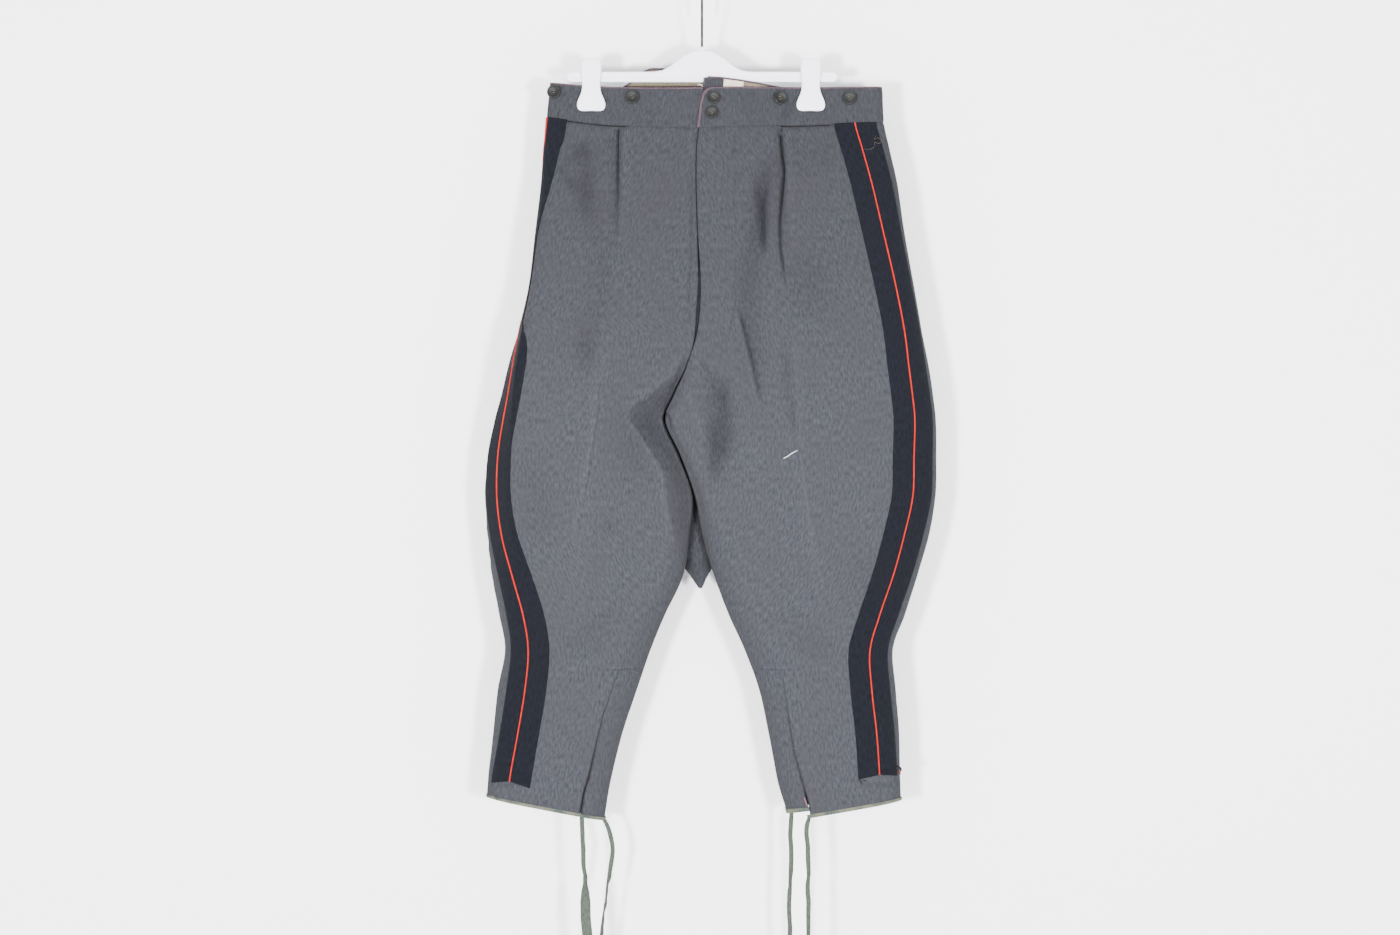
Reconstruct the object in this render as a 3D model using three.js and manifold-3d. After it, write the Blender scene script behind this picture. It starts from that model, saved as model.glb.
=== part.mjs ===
// Riding breeches of grey uniform cloth with black side bands and red piping, clipped by the
// waistband to a plain plastic hanger. Cloth walls are 1.8 to 2.4 mm thick and open at the waist,
// the calf slits and the leg ends.
// Millimetres, +Z up, the front towards -Y, +X to the right of someone who looks at the front.
// The origin is inside the top of the hanger's hook, on the rail or nail that it hangs from.
// Left and right are the wearer's own, so the right leg lies towards -X.

import * as THREE from 'three';
import { mergeVertices } from 'three/addons/utils/BufferGeometryUtils.js';
import Module from 'manifold-3d';

const wasm = await Module();
wasm.setup();

// Cloth and seams
const CLOTH = 1.8;
const WAISTBAND_CLOTH = 2.4;
const SEAM_GAP = 0.4;
const LAID_ON = 0.3;

// Fork, where the centre seam turns under between the legs
const FORK_TOP = -452;
const FORK_BOTTOM = -538;
const INSEAM_POWER = 1.7;

// Side bands
const BAND_WIDTH = 25.5;
const BAND_THICK = 0.9;
const PIPING_WIDTH = 2.2;
const PIPING_THICK = 1.6;
const BAND_GAP = 0.35;

// Fly
const FLY_LIFT = 2.6;
const FLY_WIDTH = 44;
const FLY_FADE = 30;
const FLY_TOP_FADE = [-462, -428];
// How far the wearer's right front stands off the centre where the fly gapes, and the row numbers
// between which it opens and closes
const FLY_GAP = 4.5;
const FLY_GAP_OPENS = [3.6, 4.8];
const FLY_GAP_CLOSES = [6.9, 5.7];
const UNDERLAP_REACH = 16;
const UNDERLAP_THICK = 1.5;
const UNDERLAP_ROWS = [1.1, 6.7];

// Waistband
const WAISTBAND_LIFT = 0.8;
const WAIST_PIPING_RADIUS = 1.25;
const TAB_THICK = 0.6;
const OVERLAP_CORNER = 12;
const WAISTBAND_ROWS = [0, 0.33, 0.66, 0.994];
// The back of the waistband stands higher than the front. The right one rises behind the hanger's
// bar. The left one leans forward to LEAN_Y, in front of it: widths from the centre back, and heights
const RISE_FADE = [-162, -117];
const LEAN_Y = -5.6;
const LEAN_WIDTHS = [110, 60];
const LEAN_FADE = [-165, -117];

// Calf slits and leg ends
const SLIT_TOP = -854;
const PLACKET_WIDTH = 29;
const BINDING_THICK = 0.7;

// Hanger
const BAR_HALF_LENGTH = 173;
const BAR_TOP = -93.5;
const BAR_BOTTOM = -107;
const BAR_THICK = 8;
const NECK_TOP = -62;
const NECK_RADIUS = 3.4;
const HUMP_TOP = -66;
const WIRE_RADIUS = 1.6;
const HOOK_RADIUS = 20;
const CLIPS = { right: -141, left: 138.5 };
const CLIP_TOP = -77;
const CLIP_BOTTOM = -144;
const CLIP_THICK = 3.6;
const CLIP_CLEAR = 0.8;
const CLIP_BLOCK = { width: 19, height: 12, above: 0.5 };
// How much the clips flatten the waist, how far to each side, and between which heights it fades
const CLIP_PINCH = 0.64;
const CLIP_REACH = 38;
const CLIP_FADE = [-235, -155];

const MATERIALS = {
  cloth: new THREE.MeshStandardMaterial({ color: 0x6b7072, roughness: 0.95, metalness: 0 }),
  band: new THREE.MeshStandardMaterial({ color: 0x1c1d26, roughness: 1, metalness: 0 }),
  redPiping: new THREE.MeshStandardMaterial({ color: 0xf25a48, roughness: 0.8, metalness: 0 }),
  rosePiping: new THREE.MeshStandardMaterial({ color: 0x8a616c, roughness: 0.9, metalness: 0 }),
  tape: new THREE.MeshStandardMaterial({ color: 0x82917f, roughness: 0.9, metalness: 0 }),
  cream: new THREE.MeshStandardMaterial({ color: 0xe6dfcf, roughness: 0.9, metalness: 0 }),
  button: new THREE.MeshStandardMaterial({ color: 0x3c3f41, roughness: 0.4, metalness: 0.7 }),
  plastic: new THREE.MeshStandardMaterial({ color: 0xeeeef2, roughness: 0.35, metalness: 0 }),
  wire: new THREE.MeshStandardMaterial({ color: 0x17181c, roughness: 0.4, metalness: 0.8 }),
};

// Sections of each half from the waistband's top edge to the hem. xIn and zIn are at the centre
// line or inseam, xOut and zOut where the section turns round at the side, and sag lowers its
// middle. seam is how far in from that turn the side seam shows, or, below 0, how far behind it
// runs. crease is the x of the pleat and of the pressed crease. deepIn and deepOut are half depths,
// swell is what the middle adds, and roundIn and roundOut are how wide the two edges round off.
// edge is how the turn at the side is shaped: 2 is an ellipse, and near 1 a straight slope.
const SECTION_COLUMNS = ['xIn', 'xOut', 'zIn', 'zOut', 'sag', 'seam', 'crease',
  'deepIn', 'deepOut', 'swell', 'roundIn', 'roundOut', 'edge'];

const RIGHT_SECTIONS = table(SECTION_COLUMNS, [
  [3, -194, -116.5, -110, 3, 3, -107, 11, 8, 0, 20, 10, 2],
  [-3, -198, -166, -151.5, 4, 1.5, -108, 15, 10, 3, 20, 12, 2],
  [-6, -200.5, -192, -189, 2, 0, -108.5, 18, 12, 5, 20, 16, 2],
  [-6.5, -204.5, -240, -240, 0, -4, -109, 21, 16, 7, 20, 14, 2],
  [-4.5, -212, -303, -303, 0, -6, -109, 24, 26, 9, 20, 9, 2],
  [-1, -219.5, -367, -367, 0, -4, -111, 26, 33, 10, 20, 8, 2],
  [-5, -232.5, -424, -424, 0, 1.2, -120, 27, 41, 11, 20, 8, 1.5],
  [-19, -246.5, -468, -468, 0, 8, -126, 27, 46, 12, 14, 14, 1.2],
  [-37, -256.5, -507, -507, 0, 11.5, -129.5, 26, 46, 12, 36, 20, 1.15],
  [-48.2, -264.5, -538, -538, 0, 13.5, -133, 25, 44, 12, 47, 26, 1.15],
  [-29, -273, -583, -583, 0, 15, -140, 25, 43, 12, 38, 34, 1.15],
  [-11.5, -277, -634, -634, 0, 17.8, -146, 25, 43, 12, 36, 36, 1.15],
  [-16, -274, -684, -684, 0, 21, -152, 25, 43, 11, 28, 38, 1.2],
  [-23.5, -268, -735, -735, 0, 28.5, -159, 25, 41, 10, 28, 44, 1.4],
  [-47, -258.5, -786, -786, 0, 33, -164, 26, 38, 9, 34, 48, 1.8],
  [-65, -251.5, -830, -830, 0, 32, -168, 26, 34, 8, 38, 50, 2],
  [-82.5, -260.5, -881, -881, 0, 36.5, -174, 26, 33, 7, 38, 50, 2],
  [-101.5, -266.5, -938, -938, 0, 33, -184, 25, 31, 6, 34, 46, 2],
  [-116.5, -272, -1000, -984, 0, 29.5, -194, 22, 28, 5, 30, 42, 2],
  [-124, -274.5, -1047, -1017, 0, 29, -199, 19, 25, 4, 28, 40, 2],
]);

const LEFT_SECTIONS = table(SECTION_COLUMNS, [
  [3, 230, -116.5, -115.5, 0, 38, 102, 11, 8, 0, 20, 9, 2],
  [-3, 232, -166, -158, 0, 37.5, 102, 15, 10, 3, 20, 11, 2],
  [-6, 239, -192, -191, 0, 36, 102, 18, 14, 5, 20, 16, 2],
  [-6.5, 250, -240, -240, 0, 34, 102, 21, 19, 7, 20, 22, 2],
  [-4.5, 259, -303, -303, 0, 28.5, 102, 24, 24, 9, 20, 28, 2],
  [-1, 270.5, -367, -367, 0, 25.5, 108, 26, 27, 10, 20, 32, 2],
  [-5, 280.5, -424, -424, 0, 24.5, 115, 27, 28, 11, 20, 32, 2],
  [-19, 289, -468, -468, 0, 27.5, 119, 27, 28, 12, 14, 30, 2],
  [-37, 295, -507, -507, 0, 28.5, 121, 26, 27, 12, 13, 28, 2],
  [-47, 298.5, -538, -538, 0, 29, 122.5, 25, 26, 13, 13, 26, 2],
  [-27.5, 299, -583, -583, 0, 30.5, 125, 25, 25, 13, 14, 25, 2],
  [-9.5, 298, -634, -634, 0, 31, 131, 24, 24, 13, 16, 25, 2],
  [0.5, 289.5, -684, -684, 0, 33.5, 138.5, 24, 25, 12, 22, 28, 2],
  [15, 275, -735, -735, 0, 33, 146, 24, 26, 11, 28, 32, 2],
  [34, 258.5, -786, -786, 0, 34, 152, 24, 27, 10, 34, 34, 2],
  [54, 243.5, -830, -830, 0, 31, 157, 25, 27, 9, 36, 34, 2],
  [72.5, 247.5, -881, -881, 0, 32.5, 165, 25, 27, 8, 36, 34, 2],
  [85, 251.5, -938, -938, 0, 30, 171, 24, 26, 7, 34, 32, 2],
  [97, 252.5, -1000, -985, 0, 27.5, 177, 21, 24, 6, 30, 30, 2],
  [111.5, 254, -1047, -1021, 0, 26, 180, 19, 22, 5, 28, 28, 2],
]);

const WAIST_ROW = 1;
const HEM_ROW = RIGHT_SECTIONS.length - 1;

// Folds that stand out of a wall (depth above 0) or sink into it. Each follows a path of x, z
// points, is width wide, and fades over the two lengths given for its ends.
const FOLD_COLUMNS = ['face', 'path', 'width', 'depth', 'fadeIn', 'fadeOut'];

const RIGHT_FOLDS = table(FOLD_COLUMNS, [
  ['front', [[-108, -168], [-109, -260], [-110, -350]], 7, -3.4, 1, 110],
  ['front', [[-101, -168], [-100, -260], [-101, -340]], 9, 2.2, 1, 110],
  ['front', [[-118, -400], [-130, -520], [-152, -684], [-165, -800]], 10, 2.2, 60, 120],
  ['front', [[-161, -205], [-141, -270], [-128, -330]], 16, -2.4, 40, 60],
  ['front', [[-125, -280], [-124, -350], [-142, -480]], 18, -2.2, 50, 90],
  ['front', [[-68, -490], [-80, -560], [-70, -640]], 26, -3.5, 60, 70],
  ['front', [[-228, -560], [-205, -640], [-212, -720]], 22, -2.6, 60, 60],
  ['front', [[-90, -760], [-140, -812], [-200, -835]], 16, -2.4, 60, 60],
  ['back', [[-20, -430], [-80, -500], [-150, -560]], 24, -4.5, 60, 80],
  ['back', [[-60, -600], [-120, -690], [-170, -760]], 24, -3.5, 60, 80],
  ['back', [[-150, -260], [-170, -400], [-190, -520]], 22, -3, 60, 80],
  ['back', [[-100, -800], [-150, -830], [-210, -825]], 16, -3, 60, 60],
]);

const LEFT_FOLDS = table(FOLD_COLUMNS, [
  ['front', [[102, -168], [101.5, -260], [104, -350]], 6, -4, 1, 90],
  ['front', [[109, -168], [109, -260], [112, -350]], 9, 2.4, 1, 110],
  ['front', [[115, -410], [125, -583], [138.5, -684], [152, -790]], 10, 2.2, 60, 120],
  ['front', [[92, -180], [71, -285], [57, -375], [60, -430], [76, -530]], 13, -4.6, 50, 90],
  ['front', [[80, -200], [77, -280], [78, -340]], 6, -2, 40, 50],
  ['front', [[134, -295], [135, -360], [140, -430]], 26, -3, 60, 60],
  ['front', [[4, -468], [15, -500], [20, -560], [18, -640]], 13, -5, 40, 80],
  ['front', [[8, -660], [24, -700], [42, -745]], 11, -2, 40, 50],
  ['front', [[180, -690], [215, -745], [222, -800]], 22, -2.4, 60, 60],
  ['front', [[80, -770], [130, -815], [195, -840]], 16, -2.2, 60, 60],
  ['back', [[20, -430], [80, -500], [160, -570]], 24, -4.5, 60, 80],
  ['back', [[50, -600], [120, -690], [180, -750]], 24, -3.5, 60, 80],
  ['back', [[150, -260], [180, -400], [200, -520]], 22, -3, 60, 80],
  ['back', [[90, -800], [140, -830], [200, -835]], 16, -3, 60, 60],
]);

const SIDES = {
  right: {
    sections: RIGHT_SECTIONS,
    folds: RIGHT_FOLDS,
    outward: -1,
    backRise: 27,
    riseWidths: [112, 66],
    lean: 0,
    fly: 0,
  },
  left: {
    sections: LEFT_SECTIONS,
    folds: LEFT_FOLDS,
    outward: 1,
    backRise: 14,
    riseWidths: [125, 0],
    lean: 1,
    fly: 1,
  },
};

const DENSE_STEPS = 56;
const FOLD_HOLD = 1.4;

// Tables and curves

function table(columns, rows) {
  return rows.map((row) => Object.fromEntries(columns.map((name, i) => [name, row[i]])));
}

function clamp(value, low = 0, high = 1) {
  return Math.min(high, Math.max(low, value));
}

function smooth(value) {
  const t = clamp(value);
  return t * t * (3 - 2 * t);
}

// 0 at from, 1 at to
function ramp(value, from, to) {
  return smooth((value - from) / (to - from));
}

// A cubic through the rows' values of one column, at row number v
function columnAt(rows, name, v) {
  const last = rows.length - 1;
  const i = Math.min(last - 1, Math.max(0, Math.floor(v)));
  const t = v - i;
  const [a, b, c, d] = [i - 1, i, i + 1, i + 2].map((k) => rows[clamp(k, 0, last)][name]);
  return b + 0.5 * t * (c - a + t * (2 * a - 5 * b + 4 * c - d + t * (3 * (b - c) + d - a)));
}

function rowAt(side, v) {
  const row = {};
  for (const name of SECTION_COLUMNS) {
    row[name] = columnAt(side.sections, name, v);
  }
  return row;
}

// What a side's folds add to a wall at x, z
function foldDepth(side, face, x, z) {
  let sum = 0;
  for (const fold of side.folds) {
    if (fold.face !== face) {
      continue;
    }
    let best = Infinity;
    let along = 0;
    let travelled = 0;
    for (let i = 0; i + 1 < fold.path.length; i += 1) {
      const [ax, az] = fold.path[i];
      const [bx, bz] = fold.path[i + 1];
      const length = Math.hypot(bx - ax, bz - az);
      const raw = ((x - ax) * (bx - ax) + (z - az) * (bz - az)) / (length * length);
      const t = clamp(raw);
      const distance = Math.hypot(x - ax - t * (bx - ax), z - az - t * (bz - az));
      if (distance < best) {
        best = distance;
        along = travelled + t * length;
      }
      travelled += length;
    }
    const ends = smooth(along / fold.fadeIn) * smooth((travelled - along) / fold.fadeOut);
    sum += fold.depth * ends * Math.exp(-((best / fold.width) ** 2));
  }
  return sum;
}

// How much the two clips flatten the waist at x, z
function clipPinch(x, z) {
  const nearest = Math.min(Math.abs(x - CLIPS.right), Math.abs(x - CLIPS.left));
  return CLIP_PINCH * Math.exp(-((nearest / CLIP_REACH) ** 4)) * ramp(z, ...CLIP_FADE);
}

// The outer surface of one half at row v and share s of its width, on its front or back
function surfacePoint(side, row, v, s, face) {
  const width = Math.abs(row.xOut - row.xIn);
  const fromOut = (1 - s) * width;
  const fromIn = s * width;
  const x = row.xIn + (row.xOut - row.xIn) * s;
  let z = row.zIn + (row.zOut - row.zIn) * s - row.sag * Math.sin(Math.PI * s);
  const closed = clamp((FORK_TOP - z) / (FORK_TOP - FORK_BOTTOM));
  const base = row.deepIn + (row.deepOut - row.deepIn) * smooth(s) + row.swell * Math.sin(Math.PI * s);
  const outLeft = 1 - clamp(fromOut / row.roundOut);
  const inLeft = 1 - clamp(fromIn / row.roundIn);
  const capOut = Math.max(0, 1 - outLeft ** row.edge) ** (1 / row.edge);
  const capIn = Math.sqrt(Math.max(0, 1 - closed * inLeft ** INSEAM_POWER));
  let half = base * capOut * capIn * (1 - clipPinch(x, z));
  half += foldDepth(side, face, x, z) * clamp(capOut * capIn * FOLD_HOLD);
  if (v < WAIST_ROW) {
    half += WAISTBAND_LIFT * capOut;
  }
  if (face === 'front') {
    half += side.fly * FLY_LIFT * ramp(fromIn, FLY_WIDTH + FLY_FADE, FLY_WIDTH) * ramp(z, ...FLY_TOP_FADE);
    return new THREE.Vector3(x, -half, z);
  }
  z += side.backRise * ramp(fromIn, ...side.riseWidths) * ramp(z, ...RISE_FADE);
  const lean = side.lean * ramp(fromIn, ...LEAN_WIDTHS) * ramp(z, ...LEAN_FADE);
  return new THREE.Vector3(x, half + (LEAN_Y - half) * lean, z);
}

// One whole section: from the centre front or inseam, round the side, to the centre back
function section(side, v) {
  const row = rowAt(side, v);
  const points = [];
  const shares = [];
  for (let i = 0; i <= DENSE_STEPS; i += 1) {
    shares.push(0.5 - 0.5 * Math.cos((Math.PI * i) / DENSE_STEPS));
  }
  for (const s of shares) {
    points.push(surfacePoint(side, row, v, s, 'front'));
  }
  for (const s of shares.slice(0, -1).reverse()) {
    points.push(surfacePoint(side, row, v, s, 'back'));
  }
  const arcs = [0];
  for (let i = 1; i < points.length; i += 1) {
    arcs.push(arcs[i - 1] + points[i].distanceTo(points[i - 1]));
  }
  const result = { row, points, arcs, total: arcs[arcs.length - 1], turn: arcs[DENSE_STEPS] };
  result.crease = arcAtX(result, row.crease);
  const seamX = row.xOut - side.outward * Math.max(0, row.seam);
  result.seam = row.seam < 0 ? result.turn - row.seam : arcAtX(result, seamX);
  return result;
}

// Arc length where the front of a section passes x
function arcAtX(line, x) {
  for (let i = 0; i < DENSE_STEPS; i += 1) {
    const a = line.points[i].x;
    const b = line.points[i + 1].x;
    if ((a - x) * (b - x) <= 0 && a !== b) {
      return line.arcs[i] + ((x - a) / (b - a)) * (line.arcs[i + 1] - line.arcs[i]);
    }
  }
  return x === line.points[0].x ? 0 : line.turn;
}

function pointAtArc(line, arc) {
  const last = line.arcs.length - 1;
  let i = 0;
  while (i < last - 1 && line.arcs[i + 1] < arc) {
    i += 1;
  }
  const t = clamp((arc - line.arcs[i]) / (line.arcs[i + 1] - line.arcs[i]));
  return line.points[i].clone().lerp(line.points[i + 1], t);
}

// Row number where the front of a half passes height z, at x
function rowAtHeight(side, x, z) {
  let low = 0;
  let high = HEM_ROW;
  for (let i = 0; i < 30; i += 1) {
    const mid = (low + high) / 2;
    const row = rowAt(side, mid);
    const s = clamp((x - row.xIn) / (row.xOut - row.xIn));
    const height = row.zIn + (row.zOut - row.zIn) * s - row.sag * Math.sin(Math.PI * s);
    if (height > z) {
      low = mid;
    } else {
      high = mid;
    }
  }
  return (low + high) / 2;
}

// A point of the front and the direction it faces, at x, z
function frontAt(side, x, z) {
  const at = (px, pz) => {
    const v = rowAtHeight(side, px, pz);
    const row = rowAt(side, v);
    return surfacePoint(side, row, v, clamp((px - row.xIn) / (row.xOut - row.xIn)), 'front');
  };
  const across = at(x + 2, z).sub(at(x - 2, z));
  const up = at(x, z + 2).sub(at(x, z - 2));
  return { point: at(x, z), normal: across.cross(up).normalize() };
}

// Solids

function closedGeometry(vertices, triangles) {
  const geometry = new THREE.BufferGeometry();
  const numbers = vertices.flatMap((p) => [p.x, p.y, p.z]);
  geometry.setAttribute('position', new THREE.Float32BufferAttribute(numbers, 3));
  geometry.setIndex(triangles.flat());
  let volume = 0;
  for (const [a, b, c] of triangles) {
    volume += vertices[a].dot(vertices[b].clone().cross(vertices[c]));
  }
  if (volume < 0) {
    geometry.setIndex(triangles.map(([a, b, c]) => [a, c, b]).flat());
  }
  return geometry;
}

const NORMAL_REACH = 1.6;
const NORMAL_ROWS = 0.04;

// The direction that the outer surface faces at row v and an arc. On a leg the section closes at
// the inseam, so the arcs run on round it.
function normalAt(side, line, v, arc) {
  const around = (at) => {
    const closed = line.points[0].y > -0.01;
    return pointAtArc(line, closed ? (at + line.total) % line.total : at);
  };
  const above = section(side, Math.max(0, v - NORMAL_ROWS));
  const below = section(side, Math.min(HEM_ROW, v + NORMAL_ROWS));
  const share = arc / line.total;
  const along = around(arc + NORMAL_REACH).sub(around(arc - NORMAL_REACH));
  const down = pointAtArc(below, share * below.total).sub(pointAtArc(above, share * above.total));
  return along.cross(down).normalize().multiplyScalar(-side.outward);
}

function moved(grid, normals, distance) {
  return grid.map((line, r) => line.map((p, c) => p.clone().addScaledVector(normals[r][c], distance)));
}

// A closed wall between two grids of points
function wallBetween(outer, inner) {
  const rows = outer.length;
  const columns = outer[0].length;
  const vertices = [...outer.flat(), ...inner.flat()];
  const half = rows * columns;
  const triangles = [];
  const quad = (a, b, c, d) => triangles.push([a, b, c], [a, c, d]);
  for (let r = 0; r + 1 < rows; r += 1) {
    for (let c = 0; c + 1 < columns; c += 1) {
      const i = r * columns + c;
      quad(i, i + 1, i + columns + 1, i + columns);
      quad(half + i, half + i + columns, half + i + columns + 1, half + i + 1);
    }
  }
  const border = [];
  for (let c = 0; c < columns; c += 1) {
    border.push(c);
  }
  for (let r = 1; r < rows; r += 1) {
    border.push(r * columns + columns - 1);
  }
  for (let c = columns - 2; c >= 0; c -= 1) {
    border.push((rows - 1) * columns + c);
  }
  for (let r = rows - 2; r > 0; r -= 1) {
    border.push(r * columns);
  }
  border.forEach((a, i) => {
    const b = border[(i + 1) % border.length];
    quad(b, a, half + a, half + b);
  });
  return closedGeometry(vertices, triangles);
}

// A closed solid through rings of points
function loft(rings) {
  const count = rings[0].length;
  const vertices = rings.flat();
  const triangles = [];
  for (let r = 0; r + 1 < rings.length; r += 1) {
    for (let i = 0; i < count; i += 1) {
      const j = (i + 1) % count;
      const a = r * count;
      const b = a + count;
      triangles.push([a + i, a + j, b + j], [a + i, b + j, b + i]);
    }
  }
  const end = (rings.length - 1) * count;
  for (let i = 1; i + 1 < count; i += 1) {
    triangles.push([0, i + 1, i], [end, end + i, end + i + 1]);
  }
  return closedGeometry(vertices, triangles);
}

// Rings of a flat or round section along a path, held level with the given side direction
function ringsAlong(path, across, halfWidth, halfThick, sides) {
  return path.map((point, i) => {
    const ahead = path[Math.min(path.length - 1, i + 1)];
    const behind = path[Math.max(0, i - 1)];
    const tangent = ahead.clone().sub(behind).normalize();
    const normal = tangent.clone().cross(across).normalize();
    const level = normal.clone().cross(tangent).normalize();
    const ring = [];
    for (let k = 0; k < sides; k += 1) {
      const angle = (2 * Math.PI * (k + 0.5)) / sides;
      ring.push(point.clone()
        .addScaledVector(level, halfWidth * Math.cos(angle))
        .addScaledVector(normal, halfThick * Math.sin(angle)));
    }
    return ring;
  });
}

function steps(count, from = 0, to = 1) {
  return Array.from({ length: count + 1 }, (_, i) => from + ((to - from) * i) / count);
}

// Points of one half and the directions they face: rows at the row numbers, columns at arcs
function clothGrid(side, rowNumbers, arcsOf) {
  const points = [];
  const normals = [];
  for (const v of rowNumbers) {
    const line = section(side, v);
    const arcs = arcsOf(line, v);
    points.push(arcs.map((arc) => pointAtArc(line, arc)));
    normals.push(arcs.map((arc) => normalAt(side, line, v, arc)));
  }
  return { points, normals };
}

// Part of a grid: rows from, to and columns from, to, the last ones left out
function part(grid, rows, columns) {
  const cut = (lines) => lines.slice(...rows).map((line) => line.slice(...columns));
  return { points: cut(grid.points), normals: cut(grid.normals) };
}

// A wall from a grid inwards; lift moves its outer face out
function clothWall({ points, normals }, thick, lift = 0) {
  return wallBetween(moved(points, normals, lift), moved(points, normals, lift - thick));
}

const breeches = new THREE.Group();

function add(name, geometry, material) {
  const mesh = new THREE.Mesh(geometry, material);
  mesh.name = name;
  breeches.add(mesh);
  return mesh;
}

// Row numbers down a half, from just under the waist seam to the hem
const PANEL_TOP = WAIST_ROW + 0.012;
const SLIT_ROW = rowAtHeight(SIDES.right, -65, SLIT_TOP);
const BINDING_ROW = HEM_ROW - 0.13;
const BAND_END = { right: 18.1, left: 17.75 };
const PLACKET_END = { right: HEM_ROW, left: HEM_ROW - 0.22 };

function panelRows(name) {
  return [
    PANEL_TOP, 1.5, 2, 3, 3.5, 4, 4.5, 5, 5.5, 6, 6.5, 7, 7.5, 8, 8.4, 8.75, 9, 9.5, 10, 11,
    12, 13, 14, 15, SLIT_ROW - 0.02, SLIT_ROW + 0.02, 16, 17, BAND_END[name], 18.5, BINDING_ROW, HEM_ROW,
  ];
}

// Columns round a half. The front runs from the centre or the inseam to the side seam, and below
// the slit's top from the slit. The back runs on to the centre back or the inseam.
const BAND_START = PIPING_WIDTH / 2 + BAND_GAP;
const FRONT_COLUMNS = 16;
const BAND_COLUMNS = 3;
// How much the back's columns crowd towards its band
const BACK_CROWDING = 1.2;

function halfArcs(name) {
  return (line, v) => {
    const open = name === 'right' ? FLY_GAP * ramp(v, ...FLY_GAP_OPENS) * ramp(v, ...FLY_GAP_CLOSES) : 0;
    const slit = v > SLIT_ROW ? PLACKET_WIDTH + SEAM_GAP : 0;
    const start = SEAM_GAP / 2 + open + slit;
    const crease = Math.max(start + 30, line.crease);
    const { seam, total } = line;
    const far = seam + BAND_START + BAND_WIDTH;
    const left = total - SEAM_GAP / 2 - far;
    const rest = steps(8).slice(1).map((t) => far + left * t ** BACK_CROWDING);
    return [
      ...steps(5, start, crease - 8),
      crease,
      ...steps(5, crease + 8, seam - BAND_START - BAND_WIDTH),
      seam - BAND_START - BAND_WIDTH / 2,
      seam - BAND_START,
      seam - SEAM_GAP / 2,
      seam + SEAM_GAP / 2,
      ...steps(BAND_COLUMNS, seam + BAND_START, far),
      ...rest,
    ];
  };
}

function makeLeg(name) {
  const side = SIDES[name];
  const rows = panelRows(name);
  const grid = clothGrid(side, rows, halfArcs(name));
  const last = rows.length;
  const all = [0, last];
  add(`front_${name}`, clothWall(part(grid, all, [0, FRONT_COLUMNS]), CLOTH), MATERIALS.cloth);
  add(`back_${name}`, clothWall(part(grid, all, [FRONT_COLUMNS]), CLOTH), MATERIALS.cloth);

  // Stripe: a black band on each side of the side seam and red piping between them
  const banded = [0, rows.indexOf(BAND_END[name]) + 1];
  const raised = LAID_ON + BAND_THICK;
  const frontBand = part(grid, banded, [FRONT_COLUMNS - 4, FRONT_COLUMNS - 1]);
  add(`band_front_${name}`, clothWall(frontBand, BAND_THICK, raised), MATERIALS.band);
  const backBand = part(grid, banded, [FRONT_COLUMNS + 1, FRONT_COLUMNS + 2 + BAND_COLUMNS]);
  add(`band_back_${name}`, clothWall(backBand, BAND_THICK, raised), MATERIALS.band);
  const half = PIPING_WIDTH / 2;
  const onSeam = (line) => [line.seam - half, line.seam, line.seam + half];
  const piping = clothGrid(side, rows.slice(...banded), onSeam);
  const proud = LAID_ON + PIPING_THICK;
  add(`side_piping_${name}`, clothWall(piping, PIPING_THICK, proud), MATERIALS.redPiping);

  // Green tape round the leg end
  const binding = part(grid, [last - 2, last], [0]);
  add(`hem_binding_${name}`, clothWall(binding, BINDING_THICK, LAID_ON + BINDING_THICK), MATERIALS.tape);

  // The strip beside the calf slit, between it and the inseam
  const lowest = PLACKET_END[name];
  const beside = [SLIT_ROW + 0.05, ...rows.filter((v) => v > SLIT_ROW + 0.05 && v < lowest), lowest];
  const placket = clothGrid(side, beside, () => steps(3, SEAM_GAP / 2, PLACKET_WIDTH - SEAM_GAP));
  add(`calf_placket_${name}`, clothWall(placket, CLOTH), MATERIALS.cloth);
}

// Which of the left waistband's columns the cream tab covers
const TAB_COLUMNS = [-5, -2];

// How far the rounded corner at the fly lies under the top edge
function cornerDrop(arc) {
  const inside = Math.max(0, OVERLAP_CORNER - arc);
  return OVERLAP_CORNER - Math.sqrt(OVERLAP_CORNER ** 2 - inside ** 2);
}

// Waistband from the fly, round the side, to the centre back, with a cream tab inside the left one
function makeWaistband(name) {
  const side = SIDES[name];
  const rounded = name === 'left' ? [1.5, 4, 8] : [];
  const first = name === 'left' ? SEAM_GAP / 2 : SEAM_GAP / 2 + 1;
  const grid = clothGrid(side, WAISTBAND_ROWS, (line) => {
    return [
      first,
      ...rounded,
      ...steps(11, OVERLAP_CORNER, line.turn - 14),
      line.turn - 5,
      line.turn + 5,
      ...steps(16, line.turn + 14, line.total - 74),
      ...steps(4, line.total - 62, line.total - 12),
      line.total - SEAM_GAP / 2,
    ];
  });
  [first, ...rounded].forEach((arc, i) => {
    grid.points[0][i].z -= name === 'left' ? cornerDrop(arc) : 0;
  });
  add(`waistband_${name}`, clothWall(grid, WAISTBAND_CLOTH), MATERIALS.cloth);
  if (name === 'left') {
    const inside = part(grid, [0, 2], TAB_COLUMNS);
    add('waist_tab', clothWall(inside, TAB_THICK, -WAISTBAND_CLOTH - LAID_ON), MATERIALS.cream);
  }
}

// Rose piping that stands on the waistband's top edge, and on the left turns down the fly's edge
const PIPING_DOWN_ROWS = [0.98, 0.8, 0.6, 0.42];
const PIPING_CORNER_SHIFT = new THREE.Vector3(-0.8, -0.9, 0);

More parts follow.
